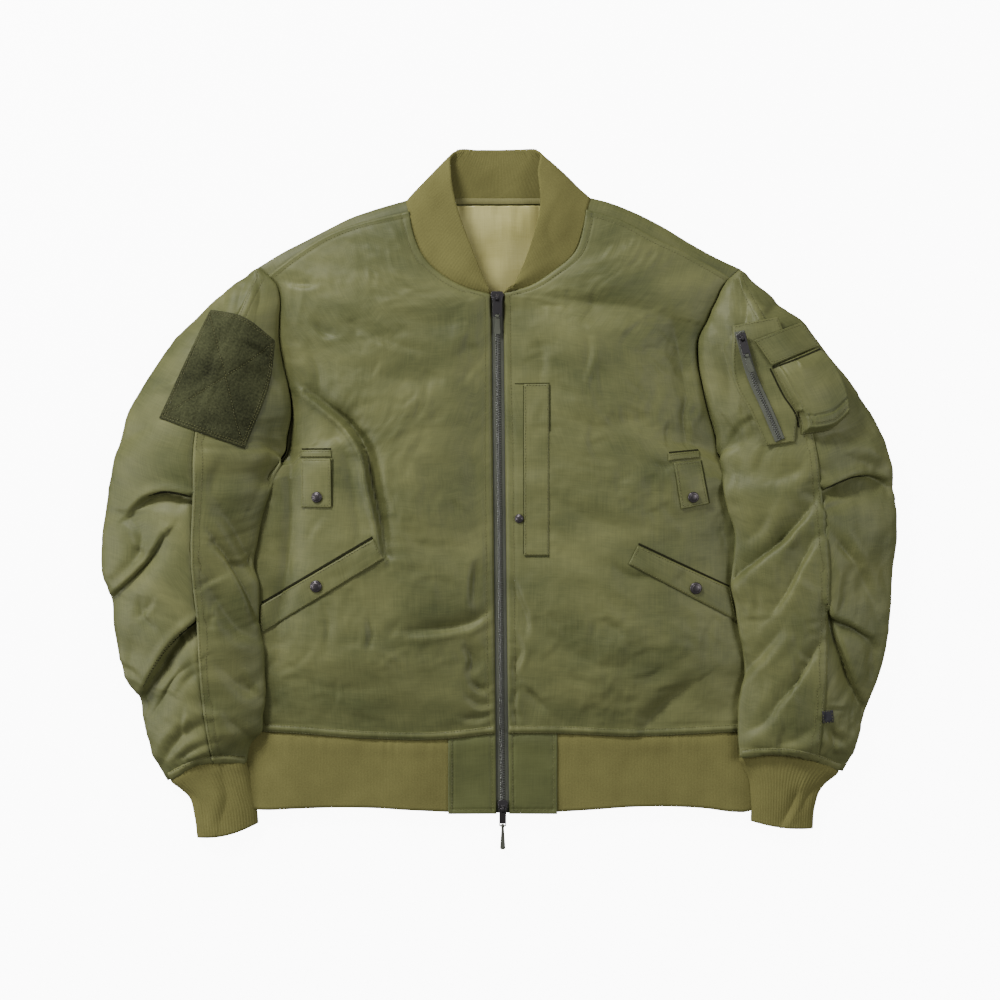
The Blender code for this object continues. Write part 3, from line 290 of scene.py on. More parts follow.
SLEEVE = {
    "right": sections(Ring, """
    271 247 261.5 252 10 ; 275 243 251 243 14 ; 290 232 242 233 21 ; 309 216 238 217 29 ;
    331 194 239 195 37 ; 352 173 239 173 42 ; 370 148 235 148 45 ; 387 122 229 122 47 ; 400 97 226 97 48 ;
    410 66 230 70 49 ; 417 42 237 44 50 ; 420 27 242 27 49 262 ; 423 10 248 9 48 ; 427 -12 256 -16 49 ;
    431 -45 262 -46 50 ; 431 -76 266 -70 50 ; 424 -98 260 -92 48 ; 420 -110 260 -114 46 ;
    418 -136 260 -134 46 ; 412 -168 255 -158 46 ; 403 -197 254 -186 44 ; 390 -215 253 -208 40 ;
    387 -236 256 -230 38 ; 380 -261 257 -250 35 ; 372 -283 270 -265 31 ; 360 -304 275 -286 22"""),
    "left": sections(Ring, """
    268 245 259.5 250 10 ; 273 238 249 241 14 ; 288 225 242 232 21 ; 306 208 234 215 29 ;
    329 191 224 194 37 ; 348 167 215 174 42 ; 364 146 215 148 45 ; 381 124 219 125 47 ; 398 98 225 98 48 ;
    414 68 233 70 49 ; 421 46 239 46 50 ; 423 30 241 29 49 262 ; 425 14 242 11 48 ; 428 -6 246 -10 49 ;
    429 -38 253 -34 50 ; 425 -68 252 -62 50 ; 423 -100 249 -92 48 ; 421 -128 254 -115 46 ;
    418 -150 258 -138 46 ; 413 -176 262 -162 45 ; 405 -203 264 -188 43 ; 395 -231 259 -214 40 ;
    387 -257 257 -238 37 ; 380 -278 257 -260 32 ; 371 -294 259 -278 22"""),
}
OPEN_RINGS = 12
TOP_SEAM = {
    "right": ((-300, 308), (-215, 321), (-132, 326), (-60, 332), (2, 330), (65, 328), (130, 312), (200, 282),
              (250, 262)),
    "left": ((-290, 342), (-215, 350), (-114, 354), (-60, 354), (11, 345), (46, 341), (130, 318), (190, 288),
             (248, 260)),
}
CuffRing = namedtuple("CuffRing", "outer_out outer_y inner_out inner_y high bow")
CUFF = {
    "right": sections(CuffRing, """
    357 -303 274 -288 20 11 ; 346 -313 271 -301 19 6 ; 336 -323 269 -315 18 3 ; 331 -342 264 -332 16 0 ;
    328 -366 262 -350 14 -5"""),
    "left": sections(CuffRing, """
    367 -294 259 -280 20 9 ; 355 -305 264 -290 19 5 ; 346 -316 269.5 -301 18 3 ; 341 -331 272 -322 16 0 ;
    339 -356 272 -348 14 -3"""),
}
SLEEVE_END_BOW = 10.0
CollarRow = namedtuple("CollarRow", "seam_out seam_y seam_z free_out free_y free_z")
COLLAR = {
    "right": sections(CollarRow, """
    12 223 25 13 231 27 ; 36 230 25.5 23 253 28 ; 58 241 25 32 276 28 ; 82 263 23 43 306 27 ;
    94 292 20 50 331 24 ; 97.5 313 17.5 53 352 19 ; 99 327 8 53 375 8 ; 90 329 0 47 379.5 0 ;
    46 329 0 24 380 0"""),
    "left": sections(CollarRow, """
    6.5 224 25 15 232 27 ; 35 233 25.5 26 256 28 ; 56 247 25 36 285 28 ; 80 269 23 43 316 26.5 ;
    90 299 20 43 335 24 ; 92.5 315 17.5 41 356 19 ; 95 330 8 44 377 8 ; 87 329 0 40 380 0 ;
    45 329 0 20 380.5 0"""),
}
COLLAR_SWELL = 3.0

# %% [markdown]
# ## Curves and grids
# A cloth piece is a grid of points: rows run along it and columns across. Edges are smooth curves
# through a few points. A front is stretched between its four edges, as a soap film would be, and a
# sleeve is a row of sections. `finer` then adds rows on smooth curves, so that the form has no facets.

# %% Curves and grids
def hermite(knots, at, slopes, where):
    k = np.clip(np.searchsorted(at, where, side="right") - 1, 0, len(at) - 2)
    shape = (-1,) + (1,) * (knots.ndim - 1)
    span = (at[k + 1] - at[k]).reshape(shape)
    s = (where - at[k]).reshape(shape) / span
    return ((2 * s**3 - 3 * s**2 + 1) * knots[k] + (s**3 - 2 * s**2 + s) * slopes[k] * span
            + (3 * s**2 - 2 * s**3) * knots[k + 1] + (s**3 - s**2) * slopes[k + 1] * span)


def shares_of(points):
    steps = np.linalg.norm(np.diff(points, axis=0), axis=-1)
    return np.concatenate([[0.0], np.cumsum(steps)]) / steps.sum()


def track(points):
    """A smooth curve through the points, as a function of the share of its length."""
    knots = np.asarray(points, float)
    at = shares_of(knots)
    slopes = np.gradient(knots, at, axis=0) if len(knots) > 2 else np.repeat(np.diff(knots, axis=0), 2, axis=0)
    return lambda share: hermite(knots, at, slopes, np.clip(np.atleast_1d(np.asarray(share, float)), 0, 1))


def joined(first, second, meet):
    """Two curves run as one: the first up to the share where they meet."""
    def point(share):
        share = np.atleast_1d(np.asarray(share, float))
        before = first(np.minimum(share / meet, 1.0))
        after = second(np.maximum((share - meet) / (1.0 - meet), 0.0))
        return np.where((share <= meet)[:, None], before, after)
    return point


def read(table, where):
    """A smooth value read from a table of two columns."""
    table = np.asarray(table, float)
    keys, values = table[:, 0], table[:, 1]
    flat = np.clip(np.asarray(where, float), keys[0], keys[-1])
    return hermite(values, keys, np.gradient(values, keys), flat.ravel()).reshape(flat.shape)


def stretched(hem, top, inner, outer, across, along):
    """The grid stretched between four edges: rows run from the hem to the top."""
    u, v = np.asarray(across, float), np.asarray(along, float)
    low, high, near, far = hem(u), top(u), inner(v), outer(v)
    uu, vv = u[None, :, None], v[:, None, None]
    grid = (1 - vv) * low[None] + vv * high[None] + (1 - uu) * near[:, None] + uu * far[:, None]
    corners = ((1 - uu) * (1 - vv) * low[0] + uu * (1 - vv) * low[-1]
               + (1 - uu) * vv * high[0] + uu * vv * high[-1])
    return grid - corners


def finer(grid, step, axis):
    """Adds points along one way of a grid, about a step apart."""
    grid = np.moveaxis(grid, axis, 0)
    spans = np.maximum(np.linalg.norm(np.diff(grid, axis=0), axis=2).mean(axis=1), 0.05)
    at = np.concatenate([[0.0], np.cumsum(spans)])
    where = np.linspace(0, at[-1], max(2, round(at[-1] / step) + 1))
    return np.moveaxis(hermite(grid, at, np.gradient(grid, at, axis=0), where), 0, axis)


def sided(table, side):
    points = np.asarray(table, float).copy()
    points[:, 0] *= SIGN[side]
    return points


def shifted(points, distance):
    """A line in plan moved sideways, to the left of the way it runs."""
    run = np.gradient(points[:, :2], axis=0)
    run /= np.linalg.norm(run, axis=1)[:, None]
    moved = points.copy()
    moved[:, 0] -= distance * run[:, 1]
    moved[:, 1] += distance * run[:, 0]
    return moved


def zip_x(y):
    return ZIP_FOOT_X + (y - ZIP_FOOT_Y) / (ZIP_TOP_Y - ZIP_FOOT_Y) * (ZIP_TOP_X - ZIP_FOOT_X)


def armhole_points(side):
    rings = SLEEVE[side][OPEN_RINGS - 1::-1]
    rise = [(ring.seam_out or ring.inner_out, ring.inner_y, float(read(ARMHOLE_RISE, ring.inner_y)))
            for ring in rings]
    return sided([UNDERARM[side]] + rise, side)


def outward(grid, way):
    """Unit directions out of the cloth at each point of a grid."""
    out = np.cross(np.gradient(grid, axis=1), np.gradient(grid, axis=0)) * way
    return out / np.maximum(np.linalg.norm(out, axis=2, keepdims=True), 1e-9)


def raised(grid, way, height):
    """The grid with each point moved out of the cloth by its height."""
    return grid + outward(grid, way) * height[:, :, None]


def on_table(grid):
    """Lifts what would lie below the table up to it."""
    grid[:, :, 2] = np.maximum(grid[:, :, 2], 0.0)
    return grid


def run_of(grid, axis):
    """Millimetres along the cloth from its first row or column to each point."""
    steps = np.linalg.norm(np.diff(grid, axis=axis), axis=2)
    return np.concatenate([np.zeros_like(steps.take([0], axis)), np.cumsum(steps, axis=axis)], axis=axis)


def lengths(grid):
    """Millimetres across and along the cloth at each point, which is its grain."""
    u = run_of(grid, 1)
    return u - u.mean(axis=1, keepdims=True), run_of(grid, 0)


def edge_distances(grid):
    """Millimetres from each point to the first and last column and the first and last row."""
    u, v = run_of(grid, 1), run_of(grid, 0)
    return u, u[:, -1:] - u, v, v[-1:] - v


def nearest_edge(grid):
    return np.minimum.reduce(edge_distances(grid))


# %% [markdown]
# ## Creases and crumple
# Nylon keeps two kinds of marks. Long folds start where the cloth is pulled, at a seam, an armhole or a
# pleat; these are listed, each as a line with a sharp side and a soft side, and a small roll beside it.
# Between them the cloth is never flat: it has low swells, some short crumples and, beside every stitched
# seam, puckers where the thread pulls. Those come from noise, the same on every run.

# %% Creases and crumple
DEEP_FOLD = 4
Crease = namedtuple("Crease", "depth sharp soft roll line sewn", defaults=(False,))


def creases(text):
    """Creases, one a row: a star if it is sewn in, its depth, sharp side, soft side and roll in millimetres,
    then the points of its line, from the middle of the jacket outwards."""
    found = []
    for row in text.strip().split("\n"):
        sizes, line = row.strip("* ").split(":")
        points = [tuple(map(float, spot.split(","))) for spot in line.split()]
        found.append(Crease(*map(float, sizes.split()), points, "*" in row))
    return found


def smooth_noise(x, y, seed):
    """Noise from -1 to 1 that changes over a distance of about 1."""
    cell_x, cell_y = np.floor(x), np.floor(y)
    fx, fy = x - cell_x, y - cell_y
    total = np.zeros(np.broadcast(x, y).shape)
    for i in (0, 1):
        for j in (0, 1):
            turn = np.sin((cell_x + i) * 127.1 + (cell_y + j) * 311.7 + seed * 74.7) * 43758.5453
            angle = 2 * np.pi * (turn - np.floor(turn))
            weight_x = fx if i else 1 - fx
            weight_y = fy if j else 1 - fy
            ease = (weight_x**3 * (6 * weight_x**2 - 15 * weight_x + 10)
                    * weight_y**3 * (6 * weight_y**2 - 15 * weight_y + 10))
            total += ease * (np.cos(angle) * (fx - i) + np.sin(angle) * (fy - j))
    return total * 1.5


def crumple(u, v, seed, swell=1.0, fine=1.0):
    """Low swells, crumples and short sharp creases, in millimetres."""
    bend_u = u + 14 * smooth_noise(u / 70, v / 70, seed + 5)
    bend_v = v + 14 * smooth_noise(u / 70, v / 70, seed + 9)
    low = 1.6 * smooth_noise(bend_u / 85, bend_v / 60, seed)
    middle = 0.75 * smooth_noise(bend_u / 34, bend_v / 26, seed + 1)
    ridges = 1 - np.abs(smooth_noise(bend_u / 30, bend_v / 17, seed + 2)) * 2
    ridges_across = 1 - np.abs(smooth_noise(bend_u / 15, bend_v / 34, seed + 3)) * 2
    where = np.clip(smooth_noise(u / 75, v / 75, seed + 4) * 1.6 + 0.35, 0, 1)
    small = 0.16 * smooth_noise(u / 8, v / 6, seed + 6)
    return swell * low + fine * (middle + where * 0.45 * (ridges + ridges_across) + small)


def beside(crease, x, y, sign):
    """Which points lie near a crease's line: their distance, side, share of its length and direction."""
    bend = track([(sign * out, along) for out, along in crease.line])(np.linspace(0, 1, 25))
    reach = 3.2 * max(crease.sharp, crease.soft)
    near = ((x > bend[:, 0].min() - reach) & (x < bend[:, 0].max() + reach)
            & (y > bend[:, 1].min() - reach) & (y < bend[:, 1].max() + reach))
    px, py = x[near], y[near]
    best = np.full(px.shape, 1e9)
    side, share, way_x, way_y = (np.zeros(px.shape) for _ in range(4))
    for k in range(len(bend) - 1):
        (ax, ay), (bx, by) = bend[k], bend[k + 1]
        dx, dy = bx - ax, by - ay
        t = np.clip(((px - ax) * dx + (py - ay) * dy) / (dx * dx + dy * dy), 0, 1)
        off_x, off_y = px - ax - t * dx, py - ay - t * dy
        far = np.hypot(off_x, off_y)
        closer = far < best
        side = np.where(closer, (dx * off_y - dy * off_x) * sign, side)
        share = np.where(closer, (k + t) / (len(bend) - 1), share)
        way_x, way_y = np.where(closer, off_x, way_x), np.where(closer, off_y, way_y)
        best = np.where(closer, far, best)
    fade = np.sin(np.pi * np.clip(0.06 + 0.88 * share, 0, 1)) ** 0.6
    if crease.sewn:
        fade = np.where(share < 0.5, 0.6 + 0.4 * np.clip(share / 0.15, 0, 1), fade)
    return near, best, side, fade, way_x / (best + 0.01), way_y / (best + 0.01)


def creased(x, y, folds, sign):
    """How far the creases sink the cloth at each point, less the rolls beside them."""
    sunk = np.zeros(x.shape)
    for crease in folds:
        near, best, side, fade = beside(crease, x, y, sign)[:4]
        width = np.where(side > 0, crease.sharp, crease.soft)
        well = np.exp(-(best / width) ** 1.35)
        lip = np.where(side > 0, np.exp(-((best - 2.2 * crease.sharp) / (1.3 * crease.sharp)) ** 2), 0.0)
        sunk[near] += fade * (crease.depth * well - crease.roll * lip)
    return sunk


def overlapped(x, y, folds, sign, lean=1.9):
    """How far the lip of a deep fold hangs over its trough, across and along."""
    push = np.zeros(x.shape + (3,))
    for crease in folds:
        if crease.depth < DEEP_FOLD:
            continue
        near, best, side, fade, way_x, way_y = beside(crease, x, y, sign)
        lip = np.where(side > 0, np.exp(-((best - 2.0 * crease.sharp) / (1.7 * crease.sharp)) ** 2), 0.0)
        for axis, way in enumerate((way_x, way_y)):
            push[:, :, axis][near] -= fade * lean * min(crease.sharp, 4.0) * lip * way
    return push


def stray_creases(count, outs, ys, seed, deep=1.0):
    """Short creases of many directions, which wearing and folding leave all over the cloth."""
    dice = np.random.default_rng(seed)
    found = []
    for _ in range(count):
        out, y = dice.uniform(*outs), dice.uniform(*ys)
        turn = dice.choice((0.15, 1.45, 0.8, 2.3)) + dice.normal(0, 0.25)
        half = dice.uniform(7, 22)
        dx, dy = half * math.cos(turn), half * math.sin(turn)
        bow = dice.normal(0, 0.16)
        found.append(Crease(deep * dice.uniform(0.5, 1.5), dice.uniform(1.8, 3.0), dice.uniform(4, 9), 0.4 * deep,
                            ((out - dx, y - dy), (out - bow * dy, y + bow * dx), (out + dx, y + dy))))
    return found


def puckers(away, along, seed, deep=0.7, reach=9.0, pitch=11.0):
    """Small waves that a stitched seam pulls into the cloth beside it."""
    phase = along / pitch + 1.3 * smooth_noise(along / 40, away * 0 + seed, seed)
    size = 0.6 + 0.8 * smooth_noise(along / 28, away * 0, seed + 2)
    return deep * size * np.exp(-(away / reach) ** 2) * np.sin(2 * np.pi * phase)


def held_down(away, reach):
    """0 on a seam, growing to 1 a little way from it."""
    return 1 - np.exp(-(away / reach) ** 2)


# %% [markdown]
# ## From grids to cloth
# `sew` turns grids into one mesh, gives it its grain and its finish, and leaves a Solidify modifier on it
# for the thickness of the shell. `Surface` holds finished cloth, so that pockets, snaps and stitches can be
# laid exactly on its creases. `cut` prints the size that the cut of most cloth pieces had.

# %% Meshes
ROOT = "root"
made_triangles = {}


def at(point):
    return Vector(((point[0] - CENTRE[0]) * MM, (point[1] - CENTRE[1]) * MM, point[2] * MM))


def metres(points):
    points = np.asarray(points, float).reshape(-1, 3)
    return (points - (CENTRE[0], CENTRE[1], 0.0)) * MM


def finished(mesh, finish):
    mesh.materials.append(finish)
    made_triangles[mesh.name] = sum(len(p.vertices) - 2 for p in mesh.polygons)
    return placed(mesh.name, mesh)


def new_piece(name, verts, faces, finish, grain=None, smooth=True):
    mesh = bpy.data.meshes.new(name)
    mesh.from_pydata([tuple(v) for v in verts], [], [tuple(f) for f in faces])
    mesh.polygons.foreach_set("use_smooth", [smooth] * len(mesh.polygons))
    if grain is not None:
        mesh.attributes.new("grain", "FLOAT_VECTOR", "POINT").data.foreach_set("vector", np.ravel(grain))
    mesh.validate()
    return finished(mesh, finish)


def from_bmesh(name, bm, finish):
    mesh = bpy.data.meshes.new(name)
    bm.to_mesh(mesh)
    bm.free()
    return finished(mesh, finish)


def grid_faces(rows, columns, start, closed, way):
    corner = np.arange(rows * columns).reshape(rows, columns) + start
    right = np.roll(corner, -1, axis=1) if closed else corner[:, 1:]
    left = corner if closed else corner[:, :-1]
    quads = np.stack([left[:-1], right[:-1], right[1:], left[1:]], axis=-1).reshape(-1, 4)
    return quads[:, ::-1] if way < 0 else quads


def on_root(piece, slot, *nodes):
    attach(piece, ROOT)
    if nodes:
        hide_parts(*nodes)
    return piece


def sew(name, grids, finish, way, slot, *nodes, wall=1.0, closed=False, seed=0.0):
    """One cloth piece from its grids; `way` is 1 where rows turn left out of the columns, else -1."""
    verts, faces, grain, start = [], [], [], 0
    for grid in grids:
        rows, columns = grid.shape[:2]
        u, v = lengths(grid)
        verts.append(metres(grid))
        grain.append(np.stack([u.ravel() * MM + seed, v.ravel() * MM, np.zeros(u.size)], axis=1))
        faces.append(grid_faces(rows, columns, start, closed, way))
        start += rows * columns
    piece = new_piece(name, np.concatenate(verts), np.concatenate(faces), finish, np.concatenate(grain))
    thick = piece.modifiers.new("wall", "SOLIDIFY")
    thick.thickness = wall * MM
    thick.offset = -1.0
    made_triangles[name] *= 2
    return on_root(piece, slot, *nodes)


def cut(piece, grids):
    grid = max(grids, key=lambda g: g.shape[0] * g.shape[1])
    width = np.linalg.norm(np.diff(grid, axis=1), axis=2).sum(axis=1).max() * MM
    length = np.linalg.norm(np.diff(grid, axis=0), axis=2).sum(axis=0).max() * MM
    area = 0.0
    for each in grids:
        a, b = each[1:, :-1] - each[:-1, :-1], each[:-1, 1:] - each[:-1, :-1]
        c, d = each[1:, :-1] - each[1:, 1:], each[:-1, 1:] - each[1:, 1:]
        area += 0.5 * (np.linalg.norm(np.cross(a, b), axis=2) + np.linalg.norm(np.cross(c, d), axis=2)).sum()
    area = min(area * MM * MM, width * length)
    print("cut %-22s %.0f x %.0f mm, %.4f square metres" % (piece.name, width / MM, length / MM, area))


class Surface:
    """Finished cloth, to lay other pieces on."""

    def __init__(self, grids, pieces=()):
        verts, faces, start = [], [], 0
        for grid in grids:
            rows, columns = grid.shape[:2]
            verts.append(metres(grid))
            faces += grid_faces(rows, columns, start, False, 1).tolist()
            start += rows * columns
        for piece in pieces:
            world = [piece.matrix_world @ v.co for v in piece.data.vertices]
            verts.append(np.array([tuple(v) for v in world]))
            faces += [[start + i for i in polygon.vertices] for polygon in piece.data.polygons]
            start += len(world)
        self.tree = BVHTree.FromPolygons([Vector(v) for v in np.concatenate(verts)], faces)

    def height(self, x, y, fallback=0.0):
        hit = self.tree.ray_cast(at((x, y, 200.0)), Vector((0, 0, -1)))
        return fallback if hit[0] is None else hit[0].z / MM

    def point(self, x, y, lift, reach=4.0):
        """The point above (x, y), moved out along the cloth's own direction there."""
        z = self.height(x, y)
        slope_x = (self.height(x + reach, y, z) - self.height(x - reach, y, z)) / (2 * reach)
        slope_y = (self.height(x, y + reach, z) - self.height(x, y - reach, z)) / (2 * reach)
        out = Vector((-slope_x, -slope_y, 1.0)).normalized()
        return np.array([x + out.x * lift, y + out.y * lift, z + out.z * lift]), out


# %% [markdown]
# ## The fronts
# Each front is one panel from the zip to the side. The insulation makes it stand up in the middle, and the
# arm pulls a few long folds into it from the armhole. Where the zip's tape is sewn in, the front puckers.

# %% Fronts
STEP = 2.6
FRONT_CREASES = {
    "right": creases("""
    7 2.6 10 2.4 : 207,117 186,100 163,80 147,56 138,14 128,-30 124,-56
    2.6 9 16 0 : 196,96 172,62 158,10 150,-40
    4.2 9 15 0 : 240,112 230,40 228,-30 238,-110 246,-160
    1.8 3 6 0.4 : 228,235 212,233 200,233
    2 3 7 0.5 : 200,190 190,180 178,178
    1.3 4 8 0.3 : 166,192 158,186 154,176
    1.2 3 7 0.3 : 150,184 125,172 108,166 88,160
    2.2 16 22 0 : 140,136 100,128 58,132
    1.5 12 18 0 : 110,196 70,190 30,192
    1.6 3 5 0.6 : 26,-70 28,-88 29,-112
    2.8 3.2 9 0.9 : 100,-143 66,-140 30,-132 16,-124
    1.8 3 6 0.7 : 36,-160 30,-172 33,-186
    1.5 2.5 5 0.6 : 30,-196 20,-205 12,-204
    1.5 2.5 5 0.6 : 34,-214 22,-222 10,-221
    1.5 2.5 5 0.6 : 40,-236 26,-237 12,-234
    1.4 3 6 0.4 : 142,-130 139,-145 142,-160
    1 3 7 0.3 : 190,-118 185,-135 188,-158
    1.3 4 8 0.3 : 206,160 198,138 196,118
    1 8 14 0.2 : 230,-190 180,-205 120,-200
    1.2 10 16 0.2 : 120,-15 90,-45 40,-50"""),
    "left": creases("""
    2.8 12 20 0.3 : 14,206 70,212 130,210 184,198
    3.2 11 17 0 : 188,192 198,150 204,112
    1.7 3 5 0.6 : 202,108 199,92 202,66
    1 3 4 0.4 : 210,100 206,88
    2.6 7 14 0.5 : 157,-246 176,-222 208,-198
    1.8 3 6 0.7 : 14,-88 19,-104 28,-128 29,-142
    1.6 3 5 0.7 : 17,-146 22,-162 16,-184 24,-200
    1.8 3 6 0.7 : 27,-204 38,-214 48,-228
    1.4 2.5 4 0.5 : 17,-206 14,-222 19,-238
    1.3 4 8 0.3 : 114,-132 124,-138 134,-148
    1.4 5 10 0.3 : 122,-70 140,-82 162,-84
    1.6 12 18 0 : 66,0 100,-22 142,-28
    1.2 10 16 0 : 70,90 110,78 160,92
    1.2 4 8 0.4 : 94,176 96,158 92,140
    1 4 8 0.3 : 42,170 46,150 44,132
    2 9 14 0 : 250,40 240,0 248,-60 256,-130
    1.1 4 9 0.3 : 186,40 176,34 168,40
    1 8 14 0.2 : 60,-150 100,-176 150,-178"""),
}
UNDERARM_SHARE = 0.5
NECK_RING = 5
FRONT_WIDE, FRONT_LONG = 280, 565


def front_grid(side):
    sign = SIGN[side]
    hem = sided(HEM_SEAM[side], side)
    heights = np.linspace(hem[0, 1], NECK[side][0][1], 12)
    zip_edge = [(zip_x(y) + sign * ZIP_HALF_GAP, y, float(read(ZIP_RISE, y)) + 0.6) for y in heights]
    hem[0] = zip_edge[0]
    neck = sided(NECK[side], side)
    neck[0] = zip_edge[-1]
    armhole = shifted(armhole_points(side)[:-1], -sign * LAP)
    body_side = sided(SIDE[side][1:], side)
    body_side[0], body_side[-1] = hem[-1], armhole[0]
    shoulder = sided(SHOULDER_SEAM[side], side)
    shoulder[0], shoulder[-1] = neck[-1], armhole[-1]
    armhole_rows = UNDERARM_SHARE + (1 - UNDERARM_SHARE) * shares_of(armhole)
    inner = joined(track(zip_edge), track(neck), armhole_rows[NECK_RING])
    outer = joined(track(body_side), track(armhole), UNDERARM_SHARE)
    across, along = (np.linspace(0, 1, round(size / STEP)) for size in (FRONT_WIDE, FRONT_LONG))
    grid = stretched(track(hem), track(shoulder), inner, outer, across, along)
    u, v = np.meshgrid(across, along)
    grid[:, :, 2] += np.sin(np.pi * u) ** 0.8 * read(FRONT_SWELL, v)
    return grid


def banded(away, width, rise=0.7):
    """A stitched seam allowance: raised to its row of stitches, where it dips."""
    band = 1 / (1 + np.exp((away - width) / 0.8))
    return rise * band - 0.9 * np.exp(-((away - width) / 1.2) ** 2)


def relieved_front(side):
    grid, sign = front_grid(side), SIGN[side]
    near, far, low, high = edge_distances(grid)
    u, v = lengths(grid)
    seed = 11.0 if side == "right" else 37.0
    relief = crumple(u, v, seed, 1.35, 1.5) * held_down(near, 14) * held_down(far, 12) * held_down(high, 9)
    relief *= held_down(low, 9)
    marks = FRONT_CREASES[side] + stray_creases(30, (16, 250), (-235, 225), int(seed), 0.4)
    relief -= 2.3 * creased(grid[:, :, 0], grid[:, :, 1], marks, sign) * held_down(near, 3)
    relief -= 1.8 * np.exp(-(far / 2.6) ** 2) + 2.0 * np.exp(-(far / 9.0) ** 2)
    zip_part = np.where(grid[:, :, 1] < ZIP_TOP_Y - 4, near, 99.0)
    lower = 0.7 + 1.1 * np.clip((-60 - grid[:, :, 1]) / 120, 0, 1)
    relief += puckers(zip_part, v, seed, 0.45, 10, 12) * lower * held_down(near, 3)
    relief += puckers(low, u, seed + 3, 0.45, 12, 14) * held_down(low, 3)
    relief += banded(near, 8.0, 0.6) + banded(low, 10.0, 0.4) + banded(high, 5.5, 0.5)
    grid = raised(grid, sign, relief)
    grid[:, 0] -= (0, 0, 0.4)
    return grid


front_grids = {side: relieved_front(side) for side in SIDES}
for side, grid in front_grids.items():
    piece = sew("front_%s_shell" % side, [grid], nylon, SIGN[side], "nylon", "front_" + side, seed=SIGN[side])
    cut(piece, [grid])

# %% [markdown]
# ## The back
# The back lies flat on the table, so only its turn over the shoulders shows, and the underside. It is
# made as two halves that meet down the middle, each stretched from the middle line to its side and armhole.

# %% Back
NECK_SHARE = 0.36
SHOULDER_LAP = 3.0
SHOULDER_TUCK = 7.0


def shoulder_rows(side, count):
    """The back's turn over the shoulder: floor line, fold, top of the fold and front seam."""
    shares = np.linspace(0, 1, count)
    fold = track(sided(SHOULDER_FOLD[side], side))(shares)
    seam = track(sided(SHOULDER_SEAM[side], side))(shares)
    inward = seam - fold
    inward[:, 2] = 0
    inward /= np.linalg.norm(inward, axis=1)[:, None]
    floor = fold + inward * SHOULDER_TUCK
    floor[:, 2] = 0
    seam = seam + inward * SHOULDER_LAP
    seam[:, 2] -= 1.8
    crest = fold + inward * 5.0
    crest[:, 2] = 0.72 * seam[:, 2]
    return np.stack([floor, fold, crest, seam])


def back_grids():
    columns = 52
    across = np.concatenate([np.linspace(0, NECK_SHARE, 12), np.linspace(NECK_SHARE, 1, columns)[1:]])
    halves, turns = [], []
    for side in SIDES:
        sign = SIGN[side]
        turn = shoulder_rows(side, columns)
        floor_line = turn[0]
        neck = track([(0, BACK_NECK_Y, 0), (floor_line[0, 0] * 0.5, BACK_NECK_Y, 0),
                      (floor_line[0, 0] * 0.94, BACK_NECK_Y, 0), tuple(floor_line[0])])
        top = joined(neck, track(floor_line), NECK_SHARE)
        armhole = shifted(armhole_points(side), -sign * 1.5)
        armhole[:, 2] = 0
        armhole[-1] = floor_line[-1]
        body_side = sided(SIDE[side][1:], side)
        body_side[:, 2] = 0
        body_side[0, 1] = BACK_HEM_Y + GAP
        body_side[-1] = armhole[0]
        outer = joined(track(body_side), track(armhole), UNDERARM_SHARE)
        middle = track([(0, BACK_HEM_Y + GAP, 0), (0, BACK_NECK_Y, 0)])
        hem = track([(0, BACK_HEM_Y + GAP, 0), tuple(body_side[0])])
        half = stretched(hem, top, middle, outer, across, np.linspace(0, 1, 110))
        halves.append(half if sign > 0 else half[:, ::-1])
        for end, inner, reach in ((0, 1, 10.0), (-1, -2, 4.5)):
            run = turn[:, end] - turn[:, inner]
            extra = turn[:, end] + reach * run / np.linalg.norm(run, axis=1)[:, None]
            turn = np.concatenate([extra[:, None], turn] if end == 0 else [turn, extra[:, None]], axis=1)
        turn = finer(turn, 1.6, 0)
        u, v = lengths(turn)
        lift = 0.5 * smooth_noise(u / 22, v / 9, 3.0 + sign) * held_down(u - u.min(), 8)
        turn[1:-1, :, 2] += (lift * (turn[:, :, 2] > 3))[1:-1]
        turns.append(turn if sign > 0 else turn[:, ::-1])
    whole = np.concatenate([halves[0], halves[1][:, 1:]], axis=1)
    return [on_table(grid) for grid in [whole] + turns]


backs = back_grids()
cut(sew("back_panel_shell", backs, nylon, -1, "nylon", "back_panel", seed=3.0), backs)

# %% [markdown]
# ## The sleeves
# A sleeve is cut in two long pieces, joined by the seam along its top. Flat on the table it is a low
# arch with its fold lying over the side of the body. Wide pleats are let into the top seam at the elbow: they
# are the deepest folds on the jacket, with one side tucked sharply under the other.

# %% Sleeve forms
OPEN_SHARES = (0, 0.03, 0.07, 0.12, 0.18)
UNDER_FOLD_RING = 10
SIDE_CLEAR = 4.0
SEAM_ROOM = 5.5
OVER_BODY = 2.8
ARCH_POINTS = 34
OUTER_TURN = ((0.06, 0.2), (0.25, 0.1), (0.6, 0.02), (1.0, 0.0))


def arch(ring, sign, start, share):
    """The sleeve's upper side at a share of its width, from its start to the outer edge."""
    edge_z = 0.34 * ring.high
    x = start[0] + share * (sign * ring.outer_out - start[0])
    y = start[1] + share * (ring.outer_y - start[1])
    chord = start[2] + share * (edge_z - start[2])
    return [x, y, chord + (ring.high - 0.5 * (start[2] + edge_z)) * math.sin(math.pi * share) ** 0.72]


def side_out(side, y):
    return float(read([(row[1], row[0]) for row in SIDE[side]], y))


